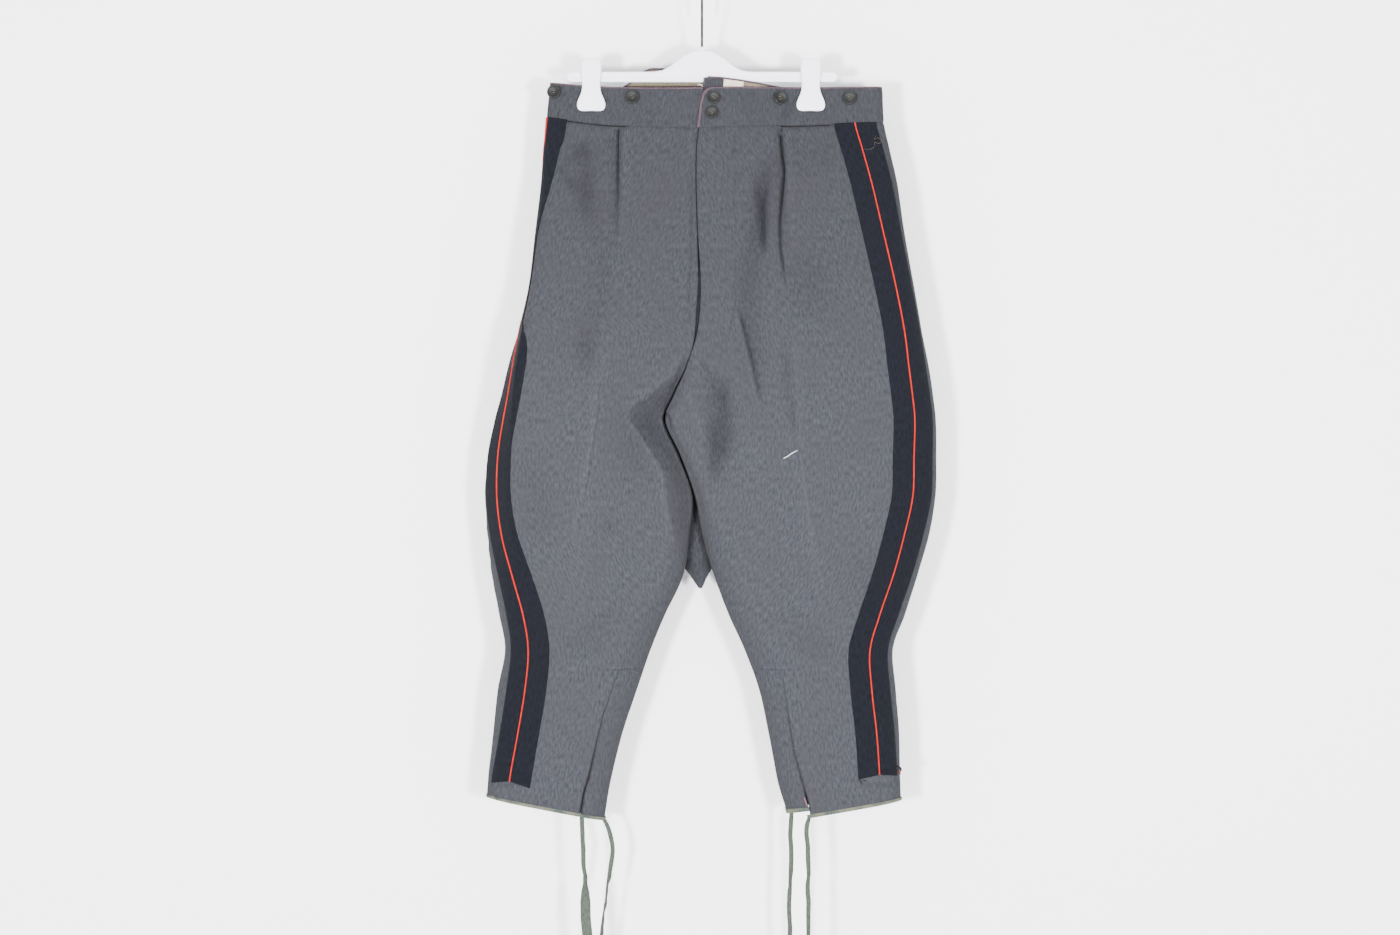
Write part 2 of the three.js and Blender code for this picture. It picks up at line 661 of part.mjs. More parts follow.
function makeWaistPiping(name) {
  const side = SIDES[name];
  const line = section(side, 0);
  const first = name === 'left' ? OVERLAP_CORNER : 2;
  const behind = steps(22, line.turn + 8, line.total - 1.5);
  const arcs = [...steps(12, first, line.turn - 6), line.turn, ...behind];
  const above = LAID_ON + WAIST_PIPING_RADIUS;
  const path = arcs.map((arc) => {
    const inward = normalAt(side, line, 0, arc).setZ(0).normalize().multiplyScalar(-WAISTBAND_CLOTH / 2);
    const point = pointAtArc(line, arc).add(inward);
    return point.setZ(point.z + above);
  });
  if (name === 'left') {
    const corner = path[0].clone().setZ(path[0].z - above - OVERLAP_CORNER);
    const bend = OVERLAP_CORNER + above;
    const turn = steps(5, 180, 110).map((degrees) => {
      const angle = (degrees * Math.PI) / 180;
      return corner.clone().add(new THREE.Vector3(bend * Math.cos(angle), 0, bend * Math.sin(angle)));
    });
    const beside = new THREE.Vector3(-above - 0.15, WAISTBAND_CLOTH / 2 - 0.6, 0);
    const down = PIPING_DOWN_ROWS.map((v) => pointAtArc(section(side, v), 0).add(beside));
    turn.forEach((point) => point.add(PIPING_CORNER_SHIFT));
    path.unshift(...down, ...turn);
  }
  const level = new THREE.Vector3(0, 1, 0.001);
  const rings = ringsAlong(path, level, WAIST_PIPING_RADIUS, WAIST_PIPING_RADIUS, 6);
  add(`waist_piping_${name}`, loft(rings), MATERIALS.rosePiping);
}

// The strip that closes the fly behind the buttoned edge
function makeUnderlap() {
  const side = SIDES.right;
  const rows = steps(12, ...UNDERLAP_ROWS);
  const grid = rows.map((v) => {
    const line = section(side, v);
    return [-1, -0.5, 0, 0.5, 1].map((share) => {
      const reach = UNDERLAP_REACH * share;
      const point = pointAtArc(line, Math.max(0, -reach));
      if (reach > 0) {
        point.x += reach;
      }
      point.y += CLOTH + LAID_ON + SEAM_GAP;
      return point;
    });
  });
  const inner = grid.map((line) => line.map((p) => p.clone().setY(p.y + UNDERLAP_THICK)));
  add('fly_underlap', wallBetween(grid, inner), MATERIALS.cloth);
}

// Four tape ties, each 280 mm long. arc is where a tie leaves the leg end, measured round the
// hem from the inseam, and below 0 on the back, and drop is how far under the cloth it starts.
// The route's points are x and z from there.
const TIE_HALF_WIDTH = 6;
const TIE_HALF_THICK = 1.4;
const TIE_INSET = 1.2;
const TIE_COLUMNS = ['name', 'side', 'arc', 'row', 'drop', 'route'];
const TIES = table(TIE_COLUMNS, [
  ['tie_right_a', 'right', 33, HEM_ROW, 1.7,
    [[0, 0], [1, -19], [2, -41], [2.5, -60], [4, -73], [4.5, -79], [5, -95], [5.5, -110], [6, -129],
      [8, -150], [8, -190], [6, -230], [7, -279]]],
  ['tie_right_b', 'right', -3, HEM_ROW, 1.7,
    [[0, 0], [4, -8], [7.5, -19], [10, -30], [10.5, -40], [8.5, -54], [6.5, -66], [3.5, -83], [2, -98],
      [-0.5, -114], [-3, -132], [-5, -157], [-5, -200], [-3, -240], [-4, -276]]],
  ['tie_left_c', 'left', 6, PLACKET_END.left, 0.8,
    [[0, 0], [-0.5, -15], [-1, -29], [0, -46], [0, -63], [-1, -78], [-1.5, -91], [-2.5, -109],
      [-2.5, -125], [-2, -140], [-1.5, -156], [-2, -200], [-1, -240], [-2, -280]]],
  ['tie_left_d', 'left', 32, HEM_ROW, 1.7,
    [[0, 0], [-2.5, -11], [-3, -21], [-1.5, -35], [-1, -52], [-0.5, -70], [-1, -77], [-1.5, -92],
      [-0.5, -107], [-0.5, -126], [-0.5, -154], [-1, -195], [0, -240], [-1, -280]]],
]);

function makeTie({ name, side, arc, row, drop, route }) {
  const line = section(SIDES[side], row);
  const onHem = pointAtArc(line, arc < 0 ? line.total + arc : arc);
  const anchor = onHem.add(new THREE.Vector3(0, onHem.y < 0 ? TIE_INSET : -TIE_INSET, -drop));
  const points = route.map(([x, z]) => anchor.clone().add(new THREE.Vector3(x, 0, z)));
  const curve = new THREE.CatmullRomCurve3(points, false, 'centripetal');
  const across = new THREE.Vector3(1, 0, 0);
  const rings = ringsAlong(curve.getSpacedPoints(14), across, TIE_HALF_WIDTH, TIE_HALF_THICK, 8);
  add(name, loft(rings), MATERIALS.tape);
}

// A dished button, turned to face the way the cloth under it faces
const BRACE_BUTTON = { radius: 9, thick: 3.4 };
const FLY_BUTTON = { radius: 8.4, thick: 3.2 };

function buttonGeometry({ radius, thick }) {
  const profile = [
    [0, 0], [radius * 0.8, 0], [radius, thick * 0.6], [radius * 0.88, thick],
    [radius * 0.7, thick * 0.9], [radius * 0.56, thick * 0.55], [0, thick * 0.5],
  ];
  return new THREE.LatheGeometry(profile.map(([r, h]) => new THREE.Vector2(r, h)), 12);
}

// The button stands clear of the highest of the cloth points around it
function placeButton(name, kind, point, normal, around) {
  const mesh = add(name, closedLathe(buttonGeometry(kind)), MATERIALS.button);
  const highest = Math.max(...around.map((near) => near.clone().sub(point).dot(normal)));
  mesh.quaternion.setFromUnitVectors(new THREE.Vector3(0, 1, 0), normal);
  mesh.position.copy(point).addScaledVector(normal, highest + LAID_ON);
}

function clothAround(side, x, z, reach) {
  return [-1, 0, 1].flatMap((i) => [-1, 0, 1].map((j) => (
    frontAt(side, x + i * reach, z + j * reach).point
  )));
}

function closedLathe(geometry) {
  geometry.deleteAttribute('normal');
  geometry.deleteAttribute('uv');
  return mergeVertices(geometry, 1e-4);
}

const FRONT_BUTTONS = [
  ['fly_button_upper', FLY_BUTTON, 'left', 15.2, -128],
  ['fly_button_lower', FLY_BUTTON, 'left', 12.8, -147],
  ['brace_button_front_right', BRACE_BUTTON, 'right', -88.5, -127],
  ['brace_button_front_left', BRACE_BUTTON, 'left', 99, -128],
  ['brace_button_side_left', BRACE_BUTTON, 'left', 188, -128],
  ['brace_button_side_right', BRACE_BUTTON, 'right', -188, -120],
];
// Behind, one on each side of the centre back, on the waistband's row number
const BACK_BUTTON_REACH = 52;
const BACK_BUTTON_ROW = 0.35;
const BACK_BUTTON_ROWS = 0.18;

function makeButtons() {
  for (const [name, kind, sideName, x, z] of FRONT_BUTTONS) {
    const { point, normal } = frontAt(SIDES[sideName], x, z);
    placeButton(name, kind, point, normal, clothAround(SIDES[sideName], x, z, kind.radius));
  }
  for (const name of ['right', 'left']) {
    const side = SIDES[name];
    const line = section(side, BACK_BUTTON_ROW);
    const arc = line.total - BACK_BUTTON_REACH;
    const spot = pointAtArc(line, arc);
    const normal = normalAt(side, line, BACK_BUTTON_ROW, arc);
    const around = [-1, 0, 1].flatMap((i) => [-1, 0, 1].map((j) => {
      const near = section(side, BACK_BUTTON_ROW + i * BACK_BUTTON_ROWS);
      return pointAtArc(near, near.total - BACK_BUTTON_REACH + j * BRACE_BUTTON.radius);
    }));
    placeButton(`brace_button_back_${name}`, BRACE_BUTTON, spot, normal, around);
  }
}

// Hanger

function extrudeInY(outline, thick, middleY) {
  const shape = new THREE.Shape(outline);
  const geometry = new THREE.ExtrudeGeometry(shape, { depth: thick, bevelEnabled: false });
  geometry.rotateX(Math.PI / 2);
  geometry.translate(0, middleY + thick / 2, 0);
  geometry.deleteAttribute('normal');
  geometry.deleteAttribute('uv');
  return mergeVertices(geometry, 1e-4);
}

function toManifold(geometry) {
  const merged = geometry.index ? geometry : mergeVertices(geometry, 1e-4);
  return new wasm.Manifold(new wasm.Mesh({
    numProp: 3,
    vertProperties: new Float32Array(merged.attributes.position.array),
    triVerts: new Uint32Array(merged.index.array),
  }));
}

function fromManifold(solid) {
  const mesh = solid.getMesh();
  const geometry = new THREE.BufferGeometry();
  const positions = [];
  for (let i = 0; i < mesh.vertProperties.length; i += mesh.numProp) {
    positions.push(mesh.vertProperties[i], mesh.vertProperties[i + 1], mesh.vertProperties[i + 2]);
  }
  geometry.setAttribute('position', new THREE.Float32BufferAttribute(positions, 3));
  geometry.setIndex(Array.from(mesh.triVerts));
  return geometry;
}

const NECK_ROOT = 4;
// Half outline of the bar's top edge, from its end to the neck: x from the middle, z
const BAR_TOP_EDGE = [
  [60, -93.3], [50, -91.5], [40, -86], [30, -78], [20, -71], [10, -66.8], [4.5, HUMP_TOP],
];

function makeHanger() {
  const end = (BAR_TOP - BAR_BOTTOM) / 2;
  const middle = (BAR_TOP + BAR_BOTTOM) / 2;
  const outline = [];
  for (const angle of steps(6, -Math.PI / 2, Math.PI / 2)) {
    const x = BAR_HALF_LENGTH - end + end * Math.cos(angle);
    outline.push(new THREE.Vector2(x, middle + end * Math.sin(angle)));
  }
  const top = BAR_TOP_EDGE.map(([x, z]) => new THREE.Vector2(x, z));
  const left = [...outline, ...top];
  const right = left.map((p) => new THREE.Vector2(-p.x, p.y)).reverse();
  const bar = toManifold(extrudeInY([...left, ...right], BAR_THICK, 0));
  const root = HUMP_TOP - NECK_ROOT;
  const neck = new THREE.CylinderGeometry(NECK_RADIUS, NECK_RADIUS, NECK_TOP - root, 12);
  neck.rotateX(Math.PI / 2);
  neck.translate(0, 0, (NECK_TOP + root) / 2);
  neck.deleteAttribute('normal');
  neck.deleteAttribute('uv');
  add('hanger_bar', fromManifold(bar.add(toManifold(mergeVertices(neck, 1e-4)))), MATERIALS.plastic);
}

// The wire hook rises from the neck, swings to the front and turns over the top to the back: y, z
// of its shank, and the degrees that its bend runs between
const HOOK_SHANK = [[0, -54], [-1.5, -47.5], [-6, -41.5]];
const HOOK_ARC = [-50, 195];

function makeHook() {
  const centreZ = -(HOOK_RADIUS - WIRE_RADIUS);
  const path = [[0, NECK_TOP + SEAM_GAP], ...HOOK_SHANK];
  for (const angle of steps(12, ...HOOK_ARC)) {
    const a = (angle * Math.PI) / 180;
    path.push([-HOOK_RADIUS * Math.cos(a), centreZ + HOOK_RADIUS * Math.sin(a)]);
  }
  const points = path.map(([y, z]) => new THREE.Vector3(0, y, z));
  const rings = ringsAlong(points, new THREE.Vector3(1, 0, 0), WIRE_RADIUS, WIRE_RADIUS, 10);
  add('hanger_hook', loft(rings), MATERIALS.wire);
}

// Half outline of a clip's jaw, from its top down: half width, z
const CLIP_OUTLINE = [[6, CLIP_TOP], [11, -79.5], [12.6, -85], [12.4, -98], [11.5, -110], [12.5, -120],
  [16, -129], [18, -134.5], [17.4, -140], [13, CLIP_BOTTOM]];
// Where the cloth's height under a jaw is read: x from its middle, and z
const UNDER_CLIP = { x: [-18, 0, 18], z: [-113, -128, CLIP_BOTTOM - 1] };

function makeClips() {
  for (const [name, x] of Object.entries(CLIPS)) {
    const half = CLIP_OUTLINE.map(([w, z]) => new THREE.Vector2(x + w, z));
    const other = CLIP_OUTLINE.map(([w, z]) => new THREE.Vector2(x - w, z)).reverse();
    const under = UNDER_CLIP.x.flatMap((dx) => UNDER_CLIP.z.map((z) => [x + dx, z]));
    const cloth = Math.max(...under.map(([px, z]) => -frontAt(SIDES[name], px, z).point.y));
    const reach = Math.max(cloth, BAR_THICK / 2) + CLIP_CLEAR;
    for (const [face, sign] of [['front', -1], ['back', 1]]) {
      const plate = extrudeInY([...half, ...other], CLIP_THICK, sign * (reach + CLIP_THICK / 2));
      const depth = reach + CLIP_THICK - SEAM_GAP;
      const block = new THREE.BoxGeometry(CLIP_BLOCK.width, depth, CLIP_BLOCK.height);
      const blockZ = BAR_TOP + CLIP_BLOCK.above + CLIP_BLOCK.height / 2;
      block.translate(x, sign * (SEAM_GAP + depth / 2), blockZ);
      block.deleteAttribute('normal');
      block.deleteAttribute('uv');
      const jaw = toManifold(plate).add(toManifold(mergeVertices(block, 1e-4)));
      add(`clip_${face}_${name}`, fromManifold(jaw), MATERIALS.plastic);
    }
  }
}

for (const name of ['right', 'left']) {
  makeLeg(name);
  makeWaistband(name);
  makeWaistPiping(name);
}
makeUnderlap();
makeButtons();
for (const tie of TIES) {
  makeTie(tie);
}
makeHanger();
makeHook();
makeClips();

export default breeches;
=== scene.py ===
import math

import bmesh
import bpy
import numpy as np
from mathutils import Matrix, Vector


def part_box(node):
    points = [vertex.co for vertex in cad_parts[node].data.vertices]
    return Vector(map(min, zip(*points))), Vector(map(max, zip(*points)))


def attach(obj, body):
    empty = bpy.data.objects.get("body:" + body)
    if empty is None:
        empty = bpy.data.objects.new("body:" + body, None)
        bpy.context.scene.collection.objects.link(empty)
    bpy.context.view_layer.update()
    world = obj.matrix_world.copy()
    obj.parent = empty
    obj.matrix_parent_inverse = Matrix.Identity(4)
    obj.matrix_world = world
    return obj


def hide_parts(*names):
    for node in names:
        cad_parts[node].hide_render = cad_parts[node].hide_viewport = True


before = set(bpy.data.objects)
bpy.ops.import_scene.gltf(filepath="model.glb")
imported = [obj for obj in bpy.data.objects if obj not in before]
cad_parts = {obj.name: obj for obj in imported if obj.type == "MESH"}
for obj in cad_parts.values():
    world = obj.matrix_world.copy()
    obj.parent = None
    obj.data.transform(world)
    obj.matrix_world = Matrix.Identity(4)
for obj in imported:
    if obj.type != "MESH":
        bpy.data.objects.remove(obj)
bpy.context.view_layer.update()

# Grey riding breeches with black side bands, clipped to a hanger. Shapes are worked out in
# millimetres in the part's own frame: +Z up, the front towards -Y, the wearer's right towards -X.
MM = 0.001
UP = np.array([0.0, 0.0, 1.0])

# Walls of the breeches' cloth and of the folded waistband, and how far the waistband stands proud
CLOTH = 1.8
WAISTBAND_CLOTH = 2.4
WAISTBAND_LIFT = 0.8

# Heights where the legs part and where the calf slits begin
FORK_TOP, FORK_BOTTOM = -452, -538
SLIT_TOP = -854

# Row numbers down the sections: waist seam, top of the panels, leg end, and the ends of what is sewn on
WAIST_ROW, PANEL_TOP, HEM_ROW = 1, 1.008, 19
BAND_END = {"right": 18.1, "left": 17.75}
PLACKET_END = {"right": HEM_ROW, "left": HEM_ROW - 0.28}
BINDING_ROW = HEM_ROW - 0.13

# The stripe's bands: how wide they are, and how far from the side seam they start
BAND_WIDTH = 25.5
BAND_START = 1.45

# The fly's thickness over the left front, its width, and where it runs out at the side and below
FLY_LIFT, FLY_WIDTH, FLY_FADE = 2.6, 44, 30
FLY_TOP_FADE = (-462, -428)

# The waistband's round corner at the fly, and its leaning back: depth, widths and heights
OVERLAP_CORNER = 12
LEAN_Y = -5.6
LEAN_WIDTHS, LEAN_HEIGHTS = (110, 60), (-165, -117)
RISE_HEIGHTS = (-162, -117)

# Where the clips pinch the front to the back: x, by how much, how wide, and the heights where it ends
CLIPS = {"right": -141, "left": 138.5}
CLIP_PINCH, CLIP_REACH = 0.64, 38
CLIP_HEIGHTS = (-235, -155)

# Spacing of the points down a leg, and steps across each face of a section
GRID_STEP = 3.6
FINE_STEPS = 200

# Sections of each half from the waistband's top edge to the hem
SECTION_COLUMNS = ("x_in", "x_out", "z_in", "z_out", "sag", "seam", "crease",
                   "deep_in", "deep_out", "swell", "round_in", "round_out", "edge")
RIGHT_SECTIONS = np.array([
    [3, -194, -116.5, -110, 3, 3, -107, 11, 8, 0, 20, 10, 2],
    [-3, -198, -166, -151.5, 4, 1.5, -108, 15, 10, 3, 20, 12, 2],
    [-6, -200.5, -192, -189, 2, 0, -108.5, 18, 12, 5, 20, 16, 2],
    [-6.5, -204.5, -240, -240, 0, -4, -109, 21, 16, 7, 20, 14, 2],
    [-4.5, -212, -303, -303, 0, -6, -109, 24, 26, 9, 20, 9, 2],
    [-1, -219.5, -367, -367, 0, -4, -111, 26, 33, 10, 20, 8, 2],
    [-5, -232.5, -424, -424, 0, 1.2, -120, 27, 41, 11, 20, 8, 1.5],
    [-19, -246.5, -468, -468, 0, 8, -126, 27, 46, 12, 14, 14, 1.2],
    [-37, -256.5, -507, -507, 0, 11.5, -129.5, 26, 46, 12, 36, 20, 1.15],
    [-48.2, -264.5, -538, -538, 0, 13.5, -133, 25, 44, 12, 47, 26, 1.15],
    [-29, -273, -583, -583, 0, 15, -140, 25, 43, 12, 38, 34, 1.15],
    [-11.5, -277, -634, -634, 0, 17.8, -146, 25, 43, 12, 36, 36, 1.15],
    [-16, -274, -684, -684, 0, 21, -152, 25, 43, 11, 28, 38, 1.2],
    [-23.5, -268, -735, -735, 0, 28.5, -159, 25, 41, 10, 28, 44, 1.4],
    [-47, -258.5, -786, -786, 0, 33, -164, 26, 38, 9, 34, 48, 1.8],
    [-65, -251.5, -830, -830, 0, 32, -168, 26, 34, 8, 38, 50, 2],
    [-82.5, -260.5, -881, -881, 0, 36.5, -174, 26, 33, 7, 38, 50, 2],
    [-101.5, -266.5, -938, -938, 0, 33, -184, 25, 31, 6, 34, 46, 2],
    [-116.5, -272, -1000, -984, 0, 29.5, -194, 22, 28, 5, 30, 42, 2],
    [-124, -274.5, -1047, -1017, 0, 29, -199, 19, 25, 4, 28, 40, 2],
])
LEFT_SECTIONS = np.array([
    [3, 230, -116.5, -115.5, 0, 38, 102, 11, 8, 0, 20, 9, 2],
    [-3, 232, -166, -158, 0, 37.5, 102, 15, 10, 3, 20, 11, 2],
    [-6, 239, -192, -191, 0, 36, 102, 18, 14, 5, 20, 16, 2],
    [-6.5, 250, -240, -240, 0, 34, 102, 21, 19, 7, 20, 22, 2],
    [-4.5, 259, -303, -303, 0, 28.5, 102, 24, 24, 9, 20, 28, 2],
    [-1, 270.5, -367, -367, 0, 25.5, 108, 26, 27, 10, 20, 32, 2],
    [-5, 280.5, -424, -424, 0, 24.5, 115, 27, 28, 11, 20, 32, 2],
    [-19, 289, -468, -468, 0, 27.5, 119, 27, 28, 12, 14, 30, 2],
    [-37, 295, -507, -507, 0, 28.5, 121, 26, 27, 12, 13, 28, 2],
    [-47, 298.5, -538, -538, 0, 29, 122.5, 25, 26, 13, 13, 26, 2],
    [-27.5, 299, -583, -583, 0, 30.5, 125, 25, 25, 13, 14, 25, 2],
    [-9.5, 298, -634, -634, 0, 31, 131, 24, 24, 13, 16, 25, 2],
    [0.5, 289.5, -684, -684, 0, 33.5, 138.5, 24, 25, 12, 22, 28, 2],
    [15, 275, -735, -735, 0, 33, 146, 24, 26, 11, 28, 32, 2],
    [34, 258.5, -786, -786, 0, 34, 152, 24, 27, 10, 34, 34, 2],
    [54, 243.5, -830, -830, 0, 31, 157, 25, 27, 9, 36, 34, 2],
    [72.5, 247.5, -881, -881, 0, 32.5, 165, 25, 27, 8, 36, 34, 2],
    [85, 251.5, -938, -938, 0, 30, 171, 24, 26, 7, 34, 32, 2],
    [97, 252.5, -1000, -985, 0, 27.5, 177, 21, 24, 6, 30, 30, 2],
    [111.5, 254, -1047, -1021, 0, 26, 180, 19, 22, 5, 28, 28, 2],
])

# Folds: face, path of x, z points, width, depth out of the cloth, fade at the two ends
RIGHT_FOLDS = [
    ("front", [[-108, -168], [-109, -260], [-110, -350]], 7, -3.4, 1, 110),
    ("front", [[-101, -168], [-100, -260], [-101, -340]], 9, 2.2, 1, 110),
    ("front", [[-118, -400], [-130, -520], [-152, -684], [-165, -800]], 10, 2.2, 60, 120),
    ("front", [[-161, -205], [-141, -270], [-128, -330]], 16, -2.4, 40, 60),
    ("front", [[-125, -280], [-124, -350], [-142, -480]], 18, -2.2, 50, 90),
    ("front", [[-68, -490], [-80, -560], [-70, -640]], 26, -3.5, 60, 70),
    ("front", [[-228, -560], [-205, -640], [-212, -720]], 22, -2.6, 60, 60),
    ("front", [[-90, -760], [-140, -812], [-200, -835]], 16, -2.4, 60, 60),
    ("back", [[-20, -430], [-80, -500], [-150, -560]], 24, -4.5, 60, 80),
    ("back", [[-60, -600], [-120, -690], [-170, -760]], 24, -3.5, 60, 80),
    ("back", [[-150, -260], [-170, -400], [-190, -520]], 22, -3, 60, 80),
    ("back", [[-100, -800], [-150, -830], [-210, -825]], 16, -3, 60, 60),
]
LEFT_FOLDS = [
    ("front", [[102, -168], [101.5, -260], [104, -350]], 6, -4, 1, 90),
    ("front", [[109, -168], [109, -260], [112, -350]], 9, 2.4, 1, 110),
    ("front", [[115, -410], [125, -583], [138.5, -684], [152, -790]], 10, 2.2, 60, 120),
    ("front", [[92, -180], [71, -285], [57, -375], [60, -430], [76, -530]], 13, -4.6, 50, 90),
    ("front", [[80, -200], [77, -280], [78, -340]], 6, -2, 40, 50),
    ("front", [[134, -295], [135, -360], [140, -430]], 26, -3, 60, 60),
    ("front", [[4, -468], [15, -500], [20, -560], [18, -640]], 13, -5, 40, 80),
    ("front", [[8, -660], [24, -700], [42, -745]], 11, -2, 40, 50),
    ("front", [[180, -690], [215, -745], [222, -800]], 22, -2.4, 60, 60),
    ("front", [[80, -770], [130, -815], [195, -840]], 16, -2.2, 60, 60),
    ("back", [[20, -430], [80, -500], [160, -570]], 24, -4.5, 60, 80),
    ("back", [[50, -600], [120, -690], [180, -750]], 24, -3.5, 60, 80),
    ("back", [[150, -260], [180, -400], [200, -520]], 22, -3, 60, 80),
    ("back", [[90, -800], [140, -830], [200, -835]], 16, -3, 60, 60),
]

# Fine creases on the cloth alone, in the same columns
RIGHT_CREASES = [
    ("front", [[-107.5, -166], [-107.5, -250], [-109.5, -330]], 1.5, -3.2, 1, 120),
    ("front", [[-24, -449], [-39, -482], [-86, -515], [-96, -532]], 5, 0.9, 20, 20),
    ("front", [[-96, -532], [-82, -555], [-51, -603], [-44, -659], [-30, -717]], 4, 0.9, 15, 60),
    ("front", [[-150, -178], [-146, -240], [-150, -300]], 10, -1.2, 20, 50),
    ("front", [[-185, -215], [-168, -232], [-152, -250]], 7, -1.2, 15, 15),
    ("front", [[-140, -178], [-166, -205], [-186, -222]], 6, -0.9, 15, 15),
    ("front", [[-20, -455], [-31, -482], [-42, -510], [-50, -528]], 2.2, -1.1, 8, 6),
    ("front", [[-52, -535], [-47, -531], [-44, -535]], 1.6, -1.3, 2, 2),
    ("front", [[-125, -463], [-131.5, -536], [-143, -611], [-159, -690], [-164, -730]], 1.5, -1.0, 60, 60),
    ("front", [[-129, -463], [-135.5, -536], [-147, -611], [-163, -690], [-168, -730]], 3, 0.6, 60, 60),
    ("front", [[-148, -400], [-146, -450], [-143, -500]], 14, -1.2, 50, 50),
    ("front", [[-116, -655], [-118, -690]], 10, -1.0, 20, 20),
    ("front", [[-12, -206], [-13, -330], [-17, -430]], 2.5, -0.8, 20, 40),
]
LEFT_CREASES = [
    ("front", [[100.6, -174], [102.2, -205], [103.5, -222], [99, -286], [99.5, -320], [103, -345],
               [106, -380]], 1.6, -4, 1, 50),
    ("front", [[46, -392], [53, -418], [64, -463], [70, -495], [77, -522]], 2.6, -2.8, 25, 25),
    ("front", [[42, -392], [48, -418], [58, -463], [66, -495], [74, -522]], 4, 1.1, 25, 25),
    ("front", [[116, -445], [115, -556], [130, -593], [139, -658], [152, -717]], 1.5, -0.9, 60, 60),
    ("front", [[113, -445], [111, -556], [127, -593], [136, -658], [149, -717]], 3, 0.6, 60, 60),
    ("front", [[22, -478], [29, -520], [30, -560], [24, -600]], 10, -1.8, 25, 35),
    ("front", [[-49, -528], [-44.5, -530.5], [-41, -538], [-40, -547]], 1.3, -2.2, 3, 4),
    ("front", [[-47, -524], [-40, -526.5], [-37, -537], [-36.5, -549]], 1.3, 1.2, 3, 4),
    ("front", [[41.5, -170], [41.5, -390], [37, -420], [26, -442], [17, -450], [6, -456]], 1.6, -0.6, 1, 8),
    ("front", [[117, -128], [103, -155], [99, -162]], 4, -1.2, 8, 4),
    ("front", [[67, -224], [75, -265], [77, -335]], 5, -1.6, 30, 30),
    ("front", [[11, -525], [16, -560], [16, -625]], 8, -1.6, 30, 30),
    ("front", [[82, -235], [77.5, -270], [77.5, -335]], 2.4, -1.2, 15, 30),
    ("front", [[-23, -496], [-16, -506], [-9, -525], [-1.5, -555], [2, -576]], 1.6, 1.1, 12, 20),
    ("front", [[-4, -459], [8, -478], [17, -494]], 3, -1.6, 12, 20),
    ("front", [[19, -659], [29, -701], [45, -738]], 2.4, 0.6, 15, 20),
    ("front", [[112, -560], [121, -584], [126, -610]], 3, -0.8, 12, 16),
    ("front", [[105, -430], [109, -500], [116, -560]], 6, -1.3, 50, 20),
]

HALVES = {
    "right": {"sections": RIGHT_SECTIONS, "folds": RIGHT_FOLDS, "creases": RIGHT_CREASES,
              "outward": -1, "back_rise": 27, "rise_widths": (112, 66), "lean": 0, "fly": 0},
    "left": {"sections": LEFT_SECTIONS, "folds": LEFT_FOLDS, "creases": LEFT_CREASES,
             "outward": 1, "back_rise": 14, "rise_widths": (125, 0), "lean": 1, "fly": 1},
}

# Where the thigh turns in towards the fork, x by z, how steeply and how roundly the cloth falls away
# inside it, and the heights between which it does
FORK_RIDGE = np.array([[-717, -30], [-659, -44], [-603, -51], [-555, -82], [-532, -96], [-515, -86],
                       [-482, -39], [-448, -13]])
FORK_SLOPE, FORK_ROUND = 0.3, 4
FORK_FOOT, FORK_HEAD = (-717, -650), (-446, -480)


def smooth(value):
    t = np.clip(value, 0, 1)
    return t * t * (3 - 2 * t)


def ramp(value, start, end):
    return smooth((value - start) / (end - start))


def bump_at(value, middle, reach):
    return np.exp(-(((value - middle) / reach) ** 2))


def sections_at(half, v):
    """A half's section values at row numbers v, on a smooth curve through its rows."""
    rows = half["sections"]
    last = len(rows) - 1
    i = np.clip(np.floor(v).astype(int), 0, last - 1)
    t = (v - i)[..., None]
    a, b, c, d = (rows[np.clip(i + k, 0, last)] for k in (-1, 0, 1, 2))
    mixed = b + 0.5 * t * (c - a + t * (2 * a - 5 * b + 4 * c - d + t * (3 * (b - c) + d - a)))
    return dict(zip(SECTION_COLUMNS, np.moveaxis(mixed, -1, 0)))


def near_path(path, x, z):
    """How far x, z lie from a path, how far along it, and its length."""
    best = np.full(np.shape(x), 1e9)
    along = np.zeros(np.shape(x))
    travelled = 0.0
    for (ax, az), (bx, bz) in zip(path, path[1:]):
        length = math.hypot(bx - ax, bz - az)
        t = np.clip(((x - ax) * (bx - ax) + (z - az) * (bz - az)) / length ** 2, 0, 1)
        distance = np.hypot(x - ax - t * (bx - ax), z - az - t * (bz - az))
        closer = distance < best
        best = np.where(closer, distance, best)
        along = np.where(closer, travelled + t * length, along)
        travelled += length
    return best, along, travelled


def fold_depth(folds, face, x, z):
    """How far the folds of one face lift its cloth at x, z."""
    total = np.zeros(np.shape(x))
    for on_face, path, width, depth, fade_in, fade_out in folds:
        if on_face != face:
            continue
        best, along, length = near_path(path, x, z)
        ends = smooth(along / fade_in) * smooth((length - along) / fade_out)
        total += depth * ends * bump_at(best, 0, width)
    return total


def clip_pinch(x, z):
    """Share by which the clips press the two faces together."""
    nearest = np.minimum(abs(x - CLIPS["right"]), abs(x - CLIPS["left"]))
    return CLIP_PINCH * np.exp(-((nearest / CLIP_REACH) ** 4)) * ramp(z, *CLIP_HEIGHTS)


def fork_facet(x, z):
    """How far the right front falls back inside the fork's ridge."""
    ridge = np.interp(z, *FORK_RIDGE.T)
    inside = np.maximum(0, x - ridge)
    ends = ramp(z, *FORK_FOOT) * ramp(z, *FORK_HEAD)
    return -FORK_SLOPE * (np.hypot(inside, FORK_ROUND) - FORK_ROUND) * ends * (inside > 0)


